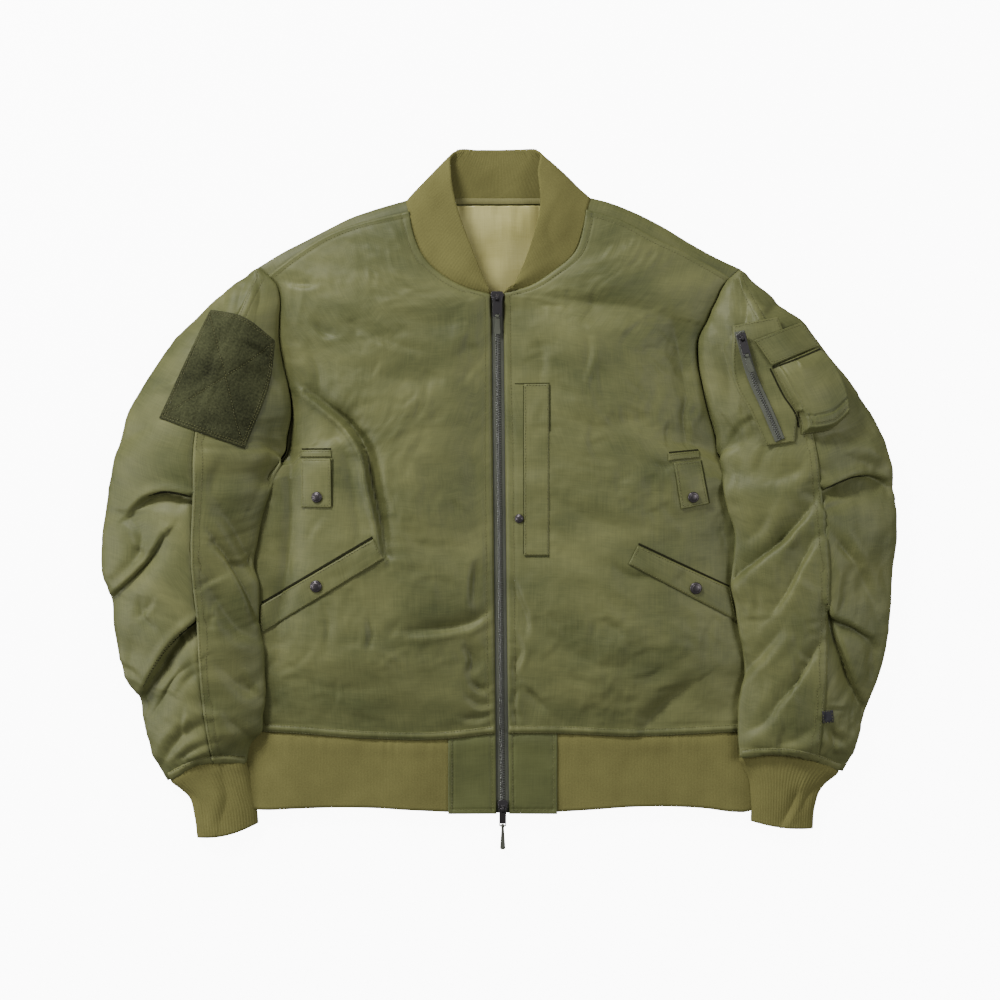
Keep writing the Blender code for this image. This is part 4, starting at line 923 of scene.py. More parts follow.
def under_fold(side, ring, body):
    """The front piece from the underarm seam, over the body's side, to the inner fold."""
    sign = SIGN[side]
    edge = side_out(side, ring.inner_y)
    inner, y = ring.inner_out, ring.inner_y

    def over(out):
        return [sign * out, y, body.height(sign * out, y, 4.0) + OVER_BODY]
    if edge - inner < 4.0:
        return [[sign * (inner + far), y, z] for far, z in ((14, 0), (10, 0), (6, 0), (2, 1.5), (0, 7))]
    step = edge + 1.2 - inner
    corner = [sign * (edge + 1.2), y, over(edge - 2.0)[2] - 0.8]
    fold = over(inner + 2.5)
    return [[sign * (edge + SIDE_CLEAR), y, 0.0], corner, over(inner + 0.55 * step), fold,
            [sign * inner, y, fold[2] + 6.0]]


def sleeve_section(side, k, ring, seam_point, body):
    """Two runs of points round the sleeve, for its front and its back piece."""
    sign = SIGN[side]
    width = ring.outer_out - ring.inner_out
    mid_y = 0.5 * (ring.inner_y + ring.outer_y)
    seam = min(max((float(read(TOP_SEAM[side], mid_y)) - ring.inner_out) / width, 0.35), 0.75)
    trim, lap = GAP / width, LAP / width
    first = 0.0
    if seam_point is None:
        front = under_fold(side, ring, body)
        floor_end = [front[0][0] + sign * SEAM_ROOM, front[0][1], 0.0]
    else:
        floor_end = [seam_point[0], seam_point[1], 0.0]
        if ring.seam_out:
            fold = [sign * ring.inner_out, ring.inner_y, seam_point[2] + 10.0]
            front = [[seam_point[0], seam_point[1], seam_point[2] + 1.0]]
            for share in (0.3, 0.6, 0.88):
                x = seam_point[0] + share * (fold[0] - seam_point[0])
                front.append([x, fold[1], body.height(x, fold[1]) + OVER_BODY + 1.6])
            front.append(fold)
        elif k == UNDER_FOLD_RING:
            front = [[seam_point[0], seam_point[1], seam_point[2] + rise] for rise in (0, 2, 4, 6.5, 9)]
        else:
            start, first = list(seam_point), OPEN_SHARES[-1]
            start[2] = min(start[2], 0.7 * ring.high)
            front = [arch(ring, sign, start, share) for share in OPEN_SHARES]
    if first == 0.0:
        start = front[-1]
    half = ARCH_POINTS // 2
    front += [arch(ring, sign, start, first + (seam - trim - first) * k / half) for k in range(1, half + 1)]
    back = [arch(ring, sign, start, seam - lap + (0.985 - seam + lap) * k / half) for k in range(half + 1)]
    back.append(arch(ring, sign, start, 1.0))
    tuck = min(12.0, 0.3 * width)
    back += [[sign * (ring.outer_out - inward * tuck), ring.outer_y, level * ring.high]
             for inward, level in OUTER_TURN]
    return front, back + [floor_end]


def sleeve_grids(side, body):
    sign = SIGN[side]
    seam_points = armhole_points(side)[:0:-1]
    front, back = [], []
    last = len(SLEEVE[side]) - 1
    for k, ring in enumerate(SLEEVE[side]):
        near, far = sleeve_section(side, k, ring, seam_points[k] if k < OPEN_RINGS else None, body)
        if k == last:
            for point in near + far:
                share = (abs(point[0]) - ring.inner_out) / (ring.outer_out - ring.inner_out)
                point[1] += SLEEVE_END_BOW * math.sin(math.pi * min(max(share, 0), 1))
        front.append(near)
        back.append(far)
    whole = finer(np.concatenate([front, back], axis=1), STEP, 0)
    count = len(front[0])
    return [on_table(finer(part, STEP * 0.85, 1)) for part in (whole[:, :count], whole[:, count:])]


# %% [markdown]
# The creases of both sleeves follow. Each row says how deep the fold is, how wide its sharp and its soft side
# are, how high the roll beside it stands, and the line it follows from the middle of the jacket outwards.

# %% Sleeve creases
SLEEVE_CREASES = {
    "right": creases("""
    * 9 2.6 15 2.4 : 331,3 346,7 362,9 380,4 396,-10
    5 10 18 1 : 404,-16 388,-40 398,-64 420,-92
    5.4 3.4 14 3 : 360,-38 376,-58 396,-80 421,-106
    * 10 2.4 15 2.4 : 324,-129 340,-140 358,-158 376,-184 390,-212
    4 7 14 0.8 : 330,-176 350,-190 366,-214 380,-236
    2.4 4 8 0.8 : 326,-186 334,-192 342,-200
    3 5 10 1.2 : 318,-240 338,-250 356,-268 366,-286
    2.6 4 9 1 : 312,-262 332,-270 350,-288
    2.2 4 8 0.9 : 306,-276 320,-282 340,-294
    3.6 6 12 1.6 : 298,-12 284,-34 270,-60 262,-72
    4.2 5 14 2 : 306,-46 292,-66 276,-96 262,-128
    3.2 7 14 1.2 : 312,-92 296,-120 280,-140 262,-150
    3.2 9 14 0.6 : 246,66 244,44 252,20 262,4
    2.4 9 14 0.6 : 420,56 396,70 374,80
    2 5 10 0.6 : 272,244 280,226 284,206
    2 4 9 0.6 : 296,226 300,214 300,200
    1.8 5 10 0.5 : 262,238 258,220 262,200
    2 8 12 0.4 : 398,-150 400,-180 394,-206
    2.2 6 12 0.8 : 304,-176 290,-190 272,-206 260,-212
    2.4 5 9 1 : 292,-236 278,-250 268,-262
    1.6 4 8 0.6 : 330,-212 318,-222 306,-226
    1.6 6 12 0.5 : 300,40 310,10 304,-12"""),
    "left": creases("""
    * 8 3 14 2 : 346,11 362,18 382,26 400,27 416,20
    3 6 12 1.6 : 386,44 402,36 418,14
    8.2 7 16 1.6 : 338,0 326,-18 304,-42 276,-64 248,-84
    4.8 6 13 1.2 : 344,-22 338,-44 324,-70 308,-100 292,-122
    3 6 14 1.2 : 356,-30 374,-58 392,-84 404,-112
    * 6 3.2 10 1.6 : 353,-121 366,-127 382,-136 400,-150
    10 4.2 15 1.4 : 355,-122 363,-142 373,-170 383,-198 395,-226
    3 6 10 0.8 : 402,-150 404,-176 400,-204
    3.2 5 11 1.4 : 304,-138 286,-160 268,-180 258,-190
    4.8 7 14 1 : 344,-152 332,-176 314,-204 292,-226
    2.4 5 10 0.9 : 300,-222 284,-240 262,-252
    2.2 5 9 0.8 : 338,-246 320,-258 296,-266
    2.4 4 8 0.9 : 348,-240 358,-252 372,-262
    2 4 9 0.7 : 352,-268 364,-276 376,-276
    2.6 6 12 1.2 : 262,226 266,206 262,190 252,178
    2 5 9 0.8 : 276,226 284,214 300,208
    2.4 6 12 1 : 232,190 240,160 246,130 248,100
    2.2 5 10 1 : 246,82 256,62 258,40
    2 6 12 0.8 : 330,48 322,34 300,24
    2.6 10 14 0.4 : 330,64 356,72 384,84 394,104
    2 6 12 0.8 : 288,-16 276,-34 262,-44
    2 6 12 0.6 : 420,-30 412,-62 418,-96"""),
}

# %% Sleeves
body_form = Surface([], [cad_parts["front_right"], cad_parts["front_left"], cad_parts["hem_rib"]])
sleeve_grid = {}


def relieved_sleeve(side, grids):
    sign = SIGN[side]
    done = []
    for part, grid in zip(("front", "back"), grids):
        near, far, top, end = edge_distances(grid)
        u, v = lengths(grid)
        out = outward(grid, -sign)
        seam_away = far if part == "front" else near
        edge_away = near if part == "front" else far
        upper = np.clip((out[:, :, 2] + 0.25) / 0.6, 0, 1) * np.clip((grid[:, :, 2] - 3.0) / 8.0, 0, 1)
        seed = (51.0 if side == "right" else 83.0) + (0 if part == "front" else 7)
        relief = crumple(u + grid[:, :, 0], v, seed, 1.3, 1.25) * held_down(seam_away, 8)
        relief *= held_down(edge_away, 6) * held_down(end, 9)
        folds = [fold for fold in SLEEVE_CREASES[side] if part == "back" or not fold.sewn]
        folds += stray_creases(26, (255, 410), (-285, 225), int(seed), 1.3)
        relief -= 1.5 * creased(grid[:, :, 0], grid[:, :, 1], folds, sign)
        shown = 0.15 + 0.85 * np.clip((top - 25) / 60, 0, 1)
        if part == "back":
            relief -= 1.9 * shown * np.exp(-(seam_away / 2.4) ** 2)
        relief += puckers(end, u, seed + 3, 0.9, 16, 15) * held_down(end, 3)
        relief += puckers(seam_away, v, seed + 5, 0.3, 8, 13)
        relief += shown * banded(seam_away, 9.0 if part == "front" else 1.5, 0.5) + banded(end, 9.0, 0.6)
        relief *= upper * held_down(top, 4)
        push = overlapped(grid[:, :, 0], grid[:, :, 1], folds, sign)
        grid = grid + out * relief[:, :, None] + push * (upper * held_down(seam_away, 4))[:, :, None]
        done.append(on_table(grid))
    return done


for side in SIDES:
    pair = relieved_sleeve(side, sleeve_grids(side, body_form))
    sleeve_grid[side] = pair
    crown = np.concatenate([pair[0][:1], pair[1][:1]], axis=1).mean(axis=1, keepdims=True)
    for part, grid in zip(("front", "back"), pair):
        name = "sleeve_%s_%s" % (side, part)
        closed = np.concatenate([crown + 0.04 * (grid[:1] - crown), crown + 0.6 * (grid[:1] - crown), grid])
        piece = sew(name + "_shell", [closed], nylon, -SIGN[side], "nylon", name, seed=5.0 + SIGN[side])
        cut(piece, [grid])

# %% [markdown]
# ## Rib knit: collar, hem and cuffs
# Rib knit is a row of small round ridges that run across the band, so that it stretches round the neck, the
# waist and the wrists. The ridges are real geometry: four points to each rib, 3.4 mm apart on the collar and
# the hem, and deeper on the cuffs, where the knit is drawn together. Only the side that shows gets them.

# %% Rib knit
RIB_PITCH = 3.4
KNIT_WALL = 2.4


def ribbed(grid, way, depth, axis, limit):
    """Raises ribs on a grid; they run along the other axis, and fan where the band bends."""
    steps = np.linalg.norm(np.diff(grid, axis=axis), axis=2)
    middle = steps.mean(axis=1 - axis)
    far = np.concatenate([[0.0], np.cumsum(middle)])
    rib = depth * (0.5 + 0.5 * np.cos(2 * np.pi * far / RIB_PITCH)) ** 0.8
    return raised(grid, way, limit * (rib[:, None] if axis == 0 else rib[None, :]))


def collar_grid():
    middle = CollarRow(0, 329, 0, 0, 380, 0)
    stations = [(row, -1.0) for row in COLLAR["right"]] + [(middle, 1.0)]
    stations += [(row, 1.0) for row in reversed(COLLAR["left"])]
    shares = (0, 0.25, 0.5, 0.75, 1)
    grid = np.zeros((len(stations), len(shares), 3))
    for r, (row, sign) in enumerate(stations):
        seam = np.array([sign * row.seam_out, row.seam_y, row.seam_z], float)
        free = np.array([sign * row.free_out, row.free_y, row.free_z], float)
        standing = 0.0 if row.seam_z == 0 else 1.0
        start = seam - (4.0 - 1.6 * standing) * (free - seam) / np.linalg.norm(free - seam)
        start[2] = max(start[2] - 2.0, 0.0)
        for c, share in enumerate(shares):
            point = start + share * (free - start)
            point[2] += standing * COLLAR_SWELL * math.sin(math.pi * share)
            grid[r, c] = point
    return finer(finer(grid, RIB_PITCH / 4, 0), 2.4, 1)


COLLAR_WAY = 1.0
collar_form = collar_grid()
u, v = lengths(collar_form)
top_side = np.clip((collar_form[:, :, 2] - 4) / 4, 0, 1)
dent = creased(collar_form[:, :, 0], collar_form[:, :, 1], creases("1.4 6 12 0.3 : 60,268 52,290 60,318"), 1.0)
lift = (0.9 * smooth_noise(v / 60, u / 40, 7.0) - dent) * top_side * held_down(edge_distances(collar_form)[0], 8)
collar_form = on_table(raised(collar_form, COLLAR_WAY, lift))
collar_ribbed = ribbed(collar_form, COLLAR_WAY, 0.22, 0, limit=2 * top_side - 1)
collar = sew("collar_knit", [collar_ribbed], knit, COLLAR_WAY, "rib", "collar", wall=KNIT_WALL, seed=11.0)
cut(collar, [collar_form])

# %% Hem
HEM_FOOT = {"right": ((0, -339), (60, -338), (160, -333), (262, -336)),
            "left": ((0, -339), (60, -338), (160, -332), (205, -332.5), (268, -340))}
HEM_BACK_FOOT = -331.0
BAND_SHARES = (0, 0.08, 0.3, 0.65, 1)


def hem_grid():
    fold = ((-20, 0.95), (-9, 0.8), (-2, 0.55), (0, 0.35), (-2, 0.15), (-9, 0.0))
    ends = {"right": SIDE["right"][0][0] + 16.0, "left": SIDE["left"][0][0] + 7.0}
    path = [("left", out, 1.0) for out in (60, 100, 140, 180, 222)]
    path += [("left", ends["left"] + out, high) for out, high in fold]
    path += [("left", out, 0.0) for out in (200, 100)] + [("right", out, 0.0) for out in (0, 100, 200)]
    path += [("right", ends["right"] + out, high) for out, high in reversed(fold)]
    path += [("right", out, 1.0) for out in (222, 180, 140, 100, 54)]
    grid = []
    for share in BAND_SHARES:
        row = []
        for side, out, high in path:
            seam = sided(HEM_SEAM[side], side)
            top_y = float(read([(abs(p[0]), p[1]) for p in seam], out)) if high > 0 else BACK_HEM_Y
            foot_y = HEM_BACK_FOOT + high * (float(read(HEM_FOOT[side], out)) - HEM_BACK_FOOT)
            top_y += (LAP + 2 * GAP) * high - 2 * GAP
            sunk = 2.0 * high if share == 0 else 0.0
            y = top_y + share * (foot_y - top_y)
            seam_z = float(read([(abs(p[0]), p[2]) for p in seam], out))
            tucked = 1.2 if out < 61 and high == 1 else 0.0
            z = high * (seam_z + share * (HEM_HEIGHT - 0.8 - seam_z)) - sunk - tucked
            row.append((SIGN[side] * out, y, z))
        grid.append(row)
    return finer(finer(np.array(grid, float), RIB_PITCH / 4, 1), 3.6, 0)


HEM_WAY = -1.0
hem_form = on_table(hem_grid())
low = edge_distances(hem_form)[2]
u, v = lengths(hem_form)
shown = np.clip((hem_form[:, :, 2] - 6) / 3, 0, 1)
lift = (0.8 * smooth_noise(u / 50, v / 45, 21.0) + 0.8 * puckers(low, u, 23.0, 0.5, 20, 17)) * shown
hem_form = raised(hem_form, HEM_WAY, lift * held_down(low, 3))
hem_ribbed = ribbed(hem_form, HEM_WAY, 0.13, 1, limit=shown)
hem = sew("hem_knit", [hem_ribbed], knit, HEM_WAY, "rib", "hem_rib", wall=KNIT_WALL, seed=17.0)
cut(hem, [hem_form])

tab_grids = {}
for side, outer in (("right", 56), ("left", 62)):
    sign = SIGN[side]
    rows = []
    for share in BAND_SHARES:
        row = []
        for k in range(5):
            start = abs(zip_x(-254.0 - 86.0 * share) + sign * ZIP_HALF_GAP)
            out = start + k * (outer - start) / 4
            top_y = float(read([(p[0], p[1]) for p in HEM_SEAM[side]], out)) + LAP
            z = HEM_HEIGHT + 0.9 - (3.4 - 0.6 * k) * share - (1.8 if share == 0 else 0.0)
            row.append((sign * out, top_y + share * (HEM_TAB_FOOT_Y - top_y), z))
        rows.append(row)
    grid = finer(finer(np.array(rows, float), 1.3, 0), 1.3, 1)
    near, far, low, high = edge_distances(grid)
    u, v = lengths(grid)
    edge = nearest_edge(grid)
    relief = 0.7 * smooth_noise(u / 26, v / 30, 31 + sign) + banded(np.minimum(near, far), 5.0, 0.3)
    relief += banded(high, 5.0, 0.3) + puckers(edge, u + v, 33.0, 0.25, 7, 9)
    grid = tab_grids[side] = raised(grid, -sign, relief * held_down(edge, 2))
    name = "hem_tab_" + side
    piece = sew(name + "_shell", [grid], nylon_band, -sign, "nylon", name, wall=1.4, seed=19.0 + sign)
    cut(piece, [grid])

# %% Cuffs
CUFF_LOOP = ((0, 0.4), (0.06, 0.68), (0.2, 0.9), (0.4, 1), (0.6, 1), (0.8, 0.9), (0.94, 0.68), (1, 0.4),
             (0.985, 0.12), (0.93, 0), (0.7, 0), (0.5, 0), (0.3, 0), (0.07, 0), (0.015, 0.12), (0, 0.4))
CUFF_CREASES = {
    "right": creases("""
    2.2 5 10 0.8 : 300,-300 296,-322 304,-352
    1.6 4 8 0.6 : 340,-312 326,-326 316,-350"""),
    "left": creases("""
    3.4 3 7 1.2 : 322,-316 314,-334 304,-352
    2.4 4 8 0.8 : 350,-306 336,-318 326,-334"""),
}
for side in SIDES:
    sign = SIGN[side]
    grid = []
    mouth = CUFF[side][0]
    hidden = CuffRing(mouth.outer_out - 3, mouth.outer_y + 12, mouth.inner_out + 3, mouth.inner_y + 12,
                      mouth.high - 5, mouth.bow)
    for ring in [hidden, *CUFF[side]]:
        width = ring.outer_out - ring.inner_out
        row = []
        for share, level in CUFF_LOOP:
            out = ring.inner_out + share * width
            y = ring.inner_y + share * (ring.outer_y - ring.inner_y) + ring.bow * math.sin(math.pi * share)
            row.append([sign * out, y, level * ring.high])
        grid.append(row)
    grid = on_table(finer(finer(np.array(grid, float), RIB_PITCH / 4.6, 1), 2.6, 0))
    upper = np.clip((grid[:, :, 2] - 4) / 4, 0, 1)
    grid = raised(grid, -sign, -creased(grid[:, :, 0], grid[:, :, 1], CUFF_CREASES[side], sign) * upper)
    deep = on_table(ribbed(grid, -sign, 0.44, 1, limit=np.clip(grid[:, :, 2] / 3, 0, 1)))
    piece = sew("cuff_%s_knit" % side, [deep[:, :-1]], knit, -sign, "rib", "cuff_" + side,
                wall=KNIT_WALL, closed=True, seed=23.0 + sign)
    cut(piece, [grid])

# %% [markdown]
# ## Lining and neck tape
# Through the neck the satin lining of the back shows. It is cut a little larger than the shell, so that it
# gathers in small pleats under the collar seam, where a narrow tape covers the raw edges.

# %% Lining
LINING_FOOT_Y, LINING_LONG = 206, 113
LINING_FOOT_HALF, LINING_FLARE = 26, 52
NECK_TAPE_HALF, NECK_TAPE_Y, NECK_TAPE_WIDE = 76, 320.6, 6.6
GATHER_PITCH = 2.4

ups, turns = np.meshgrid(np.arange(71) / 70, 2 * np.arange(91) / 90 - 1, indexing="ij")
x, y = (LINING_FOOT_HALF + LINING_FLARE * ups) * turns, LINING_FOOT_Y + LINING_LONG * ups
gather = np.clip((y - 262) / 57, 0, 1) ** 2
wave, soft = smooth_noise(x / 7.5, y / 60, 61.0), smooth_noise(x / 34 + y / 90, y / 46, 62.0)
lining = np.stack([x, y, 6.2 + 1.6 * gather * wave + 2.6 * soft], axis=2)
piece = sew("lining_shell", [lining], satin, 1, "satin", "lining_back", wall=0.6, seed=29.0)
cut(piece, [lining])

ups, x = np.meshgrid(np.arange(9) / 8, NECK_TAPE_HALF * (np.arange(181) / 90 - 1), indexing="ij")
rise = np.sin(np.pi * ups) * (0.5 + 0.28 * np.cos(2 * np.pi * x / GATHER_PITCH))
neck_tape = np.stack([x, NECK_TAPE_Y + NECK_TAPE_WIDE * ups, 5.2 + rise], axis=2)
sew("neck_tape_shell", [neck_tape], neck_satin, 1, "satin", "neck_tape", wall=0.8, seed=31.0)

# %% [markdown]
# ## The zip
# A moulded zip: two woven tapes, and teeth that mesh one by one along the middle. Each tooth is a small block
# with a rounded head, set on the tape's cord. They stand 2.6 mm apart on each side and 1.3 mm apart together.

# %% Tapes and teeth
CHAIN_HALF = 2.5
TOOTH_PITCH = 2.6
TOOTH = ((-1.0, -0.45), (1.0, -0.62), (1.0, 0.62), (-1.0, 0.45))
TOOTH_LEVELS = ((0.0, 1.0), (1.25, 1.0), (1.65, 0.72))


for side in SIDES:
    sign = SIGN[side]
    ys = np.arange(ZIP_FOOT_Y, ZIP_TOP_Y, 1.6)
    outs = np.linspace(0.1, ZIP_HALF_GAP + 4.0, 12)
    grid = np.zeros((len(ys), len(outs), 3))
    for c, out in enumerate(outs):
        cord = 0.5 * math.exp(-((out - CHAIN_HALF - 0.6) / 0.7) ** 2)
        under = 0.6 + 0.5 * max(0.0, out - ZIP_HALF_GAP)
        grid[:, c] = np.stack([zip_x(ys) + sign * out, ys, read(ZIP_RISE, ys) - under + cord], axis=1)
    sew("zip_tape_%s_weave" % side, [grid], tape, sign, "zip_tape", "zip_tape_" + side, wall=0.6, seed=37.0)


def teeth(name, node_name, middles, lift, half):
    """Teeth along a line; each is a block with a narrower, rounded head, and every other one turns round."""
    bm = bmesh.new()
    for k, (middle, run) in enumerate(zip(middles, np.gradient(middles, axis=0))):
        run = run / np.linalg.norm(run)
        side_way = np.array([run[1], -run[0], 0.0])
        up = np.cross(side_way, run)
        side_way *= 1.0 if k % 2 else -1.0
        levels = []
        for high, shrink in TOOTH_LEVELS:
            spots = [middle + side_way * (a * shrink * half + 0.75) + run * b * shrink * 1.05 + up * (high + lift)
                     for a, b in TOOTH]
            levels.append([bm.verts.new(v) for v in metres(spots)])
        for lower, upper in zip(levels, levels[1:]):
            for i in range(4):
                j = (i + 1) % 4
                bm.faces.new((lower[i], lower[j], upper[j], upper[i]))
        bm.faces.new(levels[-1])
        bm.faces.new(levels[0][::-1])
    bmesh.ops.recalc_face_normals(bm, faces=bm.faces)
    on_root(from_bmesh(name, bm, tooth_metal), "gunmetal", node_name)


ys = np.arange(ZIP_FOOT_Y + 2, ZIP_TOP_Y - 1, TOOTH_PITCH / 2)
teeth("zip_teeth", "zip_chain", np.stack([zip_x(ys), ys, read(ZIP_RISE, ys)], axis=1), -0.35, 1.55)

# %% [markdown]
# ### Sliders, pulls and tails
# These hang on each other and move, so they keep the frame's exact shapes. A small bevel is added to every
# edge, as casting and plating leave it: only a rounded edge catches the light.

# %% Sliders, pulls and tails
BEVEL = 0.28


def softened(node_name, finish, body, bevel=BEVEL):
    piece = placed(node_name + "_cast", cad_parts[node_name].data.copy())
    piece.data.materials.clear()
    piece.data.materials.append(finish)
    bm = bmesh.new()
    bm.from_mesh(piece.data)
    bmesh.ops.remove_doubles(bm, verts=bm.verts, dist=0.001 * MM)
    bmesh.ops.dissolve_limit(bm, angle_limit=math.radians(1.0), verts=bm.verts, edges=bm.edges)
    bm.to_mesh(piece.data)
    bm.free()
    grain = piece.data.attributes.new("grain", "FLOAT_VECTOR", "POINT")
    grain.data.foreach_set("vector", np.array([tuple(v.co) for v in piece.data.vertices]).ravel())
    round_off = piece.modifiers.new("bevel", "BEVEL")
    round_off.width = bevel * MM
    round_off.segments = 2
    round_off.limit_method = "ANGLE"
    round_off.angle_limit = math.radians(35)
    piece.data.shade_smooth()
    piece.data.set_sharp_from_angle(angle=math.radians(40))
    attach(piece, body)
    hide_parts(node_name)


for kind in ("top", "bottom", "pocket"):
    softened("slider_" + kind, gunmetal, ROOT)
    softened("pull_" + kind, gunmetal, "pull_" + kind, 0.2)
    softened("tail_" + kind, tape, "tail_" + kind, 0.2)

# %% [markdown]
# ## Pockets, tabs and patches
# What is sewn on the fronts and the sleeves lies on their creases. `laid` reads the height of the cloth below,
# smooths it a little, because two more layers of cloth are stiffer than one, and raises the patch's edges by
# its folded seam allowance. Its stitches run 2 mm inside the edge.

# %% Laying cloth on cloth
stitch_lines = {"body": [], "sleeve_right": [], "sleeve_left": []}


def edges_of(*lines):
    """A patch's edges as tracks: low, high, near, far."""
    return tuple(track(line) for line in lines)


def straight_edges(a, b, c, d):
    """The edges of a four-cornered patch: low start, low end, high end, high start."""
    return edges_of((a, b), (d, c), (a, d), (b, c))


def smoothed(field, rounds):
    for _ in range(rounds):
        padded = np.pad(field, 1, mode="edge")
        field = (padded[:-2, 1:-1] + padded[2:, 1:-1] + padded[1:-1, :-2] + padded[1:-1, 2:] + 4 * field) / 8
    return field


def laid_grid(under, edges, step, lift, rounds=6, stiff=False):
    """A patch's grid on the cloth below, and its way; a stiff one bridges the dips and bumps below it."""
    low, high, near, far = edges
    across = np.linalg.norm(low(1)[0] - low(0)[0])
    along = np.linalg.norm(near(1)[0] - near(0)[0])
    columns, rows = max(4, round(across / step)), max(4, round(along / step))
    plan = stretched(low, high, near, far, np.linspace(0, 1, columns + 1), np.linspace(0, 1, rows + 1))
    spots = np.array([[under.point(p[0], p[1], 0.0)[0] for p in row] for row in plan])
    level = smoothed(spots[:, :, 2], rounds)
    spots[:, :, 2] = level if stiff else np.maximum(level, spots[:, :, 2] - 0.2)
    first, second, third = plan[0, 0], plan[0, -1], plan[-1, 0]
    turn = (second[0] - first[0]) * (third[1] - first[1]) - (second[1] - first[1]) * (third[0] - first[0])
    way = 1.0 if turn > 0 else -1.0
    return raised(spots, way, np.full(spots.shape[:2], lift)), way


def stitch(group, grid, way, distance, edges="low high near far"):
    """Keeps lines inside a grid's edges, each a run of points and directions, for the stitches."""
    out, closest = outward(grid, way), nearest_edge(grid)
    away = dict(zip(("near", "far", "low", "high"), edge_distances(grid)))
    for name in edges.split():
        off = np.abs(away[name] - distance)
        if name in ("near", "far"):
            picks = list(enumerate(off.argmin(axis=1)))
        else:
            picks = [(r, c) for c, r in enumerate(off.argmin(axis=0))]
        picks = [p for p in picks if closest[p] > 0.8 * distance - 0.2]
        if len(picks) > 3:
            rows, columns = zip(*picks)
            stitch_lines[group].append((grid[rows, columns], out[rows, columns]))


def laid(node_name, under, edges, group="body", finish=nylon, slot="nylon", wall=1.5, lift=2.0, step=1.5,
         seed=0.0, lines=(2.2,), swell=0.35, rounds=6, stiff=False, ending="_shell"):
    grid, way = laid_grid(under, edges, step, lift, rounds, stiff)
    edge = nearest_edge(grid)
    u, v = lengths(grid)
    relief = swell * smooth_noise(u / 24, v / 24, 91 + seed) * held_down(edge, 4)
    relief += 0.45 * np.exp(-(edge / 1.8) ** 2) - 0.45 * np.exp(-((edge - lines[0]) / 0.8) ** 2)
    relief += puckers(edge, u + v, 93.0 + seed, 0.12, 6, 8)
    relief -= 0.9 * np.exp(-(edge / 0.7) ** 2)
    grid = raised(grid, way, relief)
    piece = sew(node_name + ending, [grid], finish, way, slot, node_name, wall=wall, seed=41.0 + seed)
    width = min(np.linalg.norm(np.diff(grid, axis=i), axis=2).sum(axis=i).max() for i in (0, 1))
    if width > 12:
        cut(piece, [grid])
    for distance in lines:
        stitch(group, grid, way, distance)
    return grid, way


# %% [markdown]
# ### Snaps
# A snap's cap is a disc of brass pressed into a low dome, with a flat ring round it and its rim curled under.
# It is a turned profile, set on the cloth.

# %% Snaps
CAP = ((0.0, 2.75), (0.3, 2.7), (0.52, 2.45), (0.66, 2.05), (0.7, 1.8), (0.75, 1.85), (0.84, 1.75), (0.93, 1.4),
       (0.985, 0.9), (1.0, 0.35), (0.96, -0.3), (0.0, -0.3))


def snap(name, under, x, y, radius):
    spot, out = under.point(x, y, 0.5, 6.0)
    forward = Vector((0.0, 1.0, 0.0))
    forward = (forward - out * forward.dot(out)).normalized()
    across = forward.cross(out).normalized()
    bm = bmesh.new()
    verts = [bm.verts.new((r * radius * MM, 0, z * MM)) for r, z in CAP]
    edges = [bm.edges.new(pair) for pair in zip(verts[:-1], verts[1:])]
    bmesh.ops.spin(bm, geom=verts + edges, axis=(0, 0, 1), cent=(0, 0, 0), angle=2 * math.pi, steps=48)
    bmesh.ops.remove_doubles(bm, verts=bm.verts, dist=0.001 * MM)
    bmesh.ops.recalc_face_normals(bm, faces=bm.faces)
    bm.transform(Matrix.Translation(at(spot)) @ Matrix((across, forward, out)).transposed().to_4x4())
    piece = from_bmesh(name + "_cap", bm, snap_metal)
    piece.data.shade_smooth()
    on_root(piece, "gunmetal", name)


# %% Pockets and tabs on the fronts
fronts = Surface([front_grids["right"], front_grids["left"]])
WELTS = {"right": ((-136, -42), (-259, -114), (-259, -145), (-125, -63)),
         "left": ((138, -69), (256, -131), (249, -95), (148, -49))}
WELT_SNAPS = {"right": (-198, -93, 6.5), "left": (211, -95, 6.5)}
PEN_BARS = {"right": ((-216, 46), (-181, 46), (-182, 54), (-216, 54)),
            "left": ((181, 42), (215, 45.5), (215, 53), (181, 50))}
PEN_TABS = {"right": ((-214, -8), (-181, -8), (-182, 44.5), (-214, 44.5)),
            "left": ((195, -10), (225, -4), (216, 43), (187, 40))}
PEN_SNAPS = {"right": (-197, 3, 6), "left": (208, 3, 6)}
for side in SIDES:
    sign = SIGN[side]
    welt, _ = laid("welt_" + side, fronts, straight_edges(*WELTS[side]), lift=1.9, seed=sign)
    laid("pen_bar_" + side, fronts, straight_edges(*PEN_BARS[side]), lift=1.7, step=1.0, seed=2 + sign,
         lines=(1.6,))
    tab, _ = laid("pen_tab_" + side, fronts, straight_edges(*PEN_TABS[side]), lift=2.2, step=1.2, seed=5 + sign)
    snap("welt_snap_" + side, Surface([welt]), *WELT_SNAPS[side])
    snap("pen_snap_" + side, Surface([tab]), *PEN_SNAPS[side])
chest_edges = straight_edges((26, -60), (53, -60), (53, 125), (26, 125))
chest, _ = laid("chest_welt", fronts, chest_edges, lift=0.9, seed=9.0)
snap("chest_snap", Surface([chest, front_grids["left"]]), 20.8, -20, 4.9)

# %% [markdown]
# ### Pocket mouths
# Above each welt the pocket is open: a slit that shows the shade inside. That shade is painted: a narrow
# dark strip is laid in each slit, a little lower than the welt's edge, and other strips of painted shade
# run along the pen pockets and the edges of the pen tabs and the chest welt.

# %% Pocket mouths
# Painted shade: dark finishes for strips laid where only shade falls; the darker one in slits, pleats and under
# the sleeve pocket's flap, the other along the edges of the pen tabs and the chest welt.
shade = new_finish("painted_pocket_shade", "262718", 0.95, Specular_IOR_Level=0.1)[0]
fold_shade = new_finish("painted_fold_shade", "3c3f26", 0.95, Specular_IOR_Level=0.1)[0]


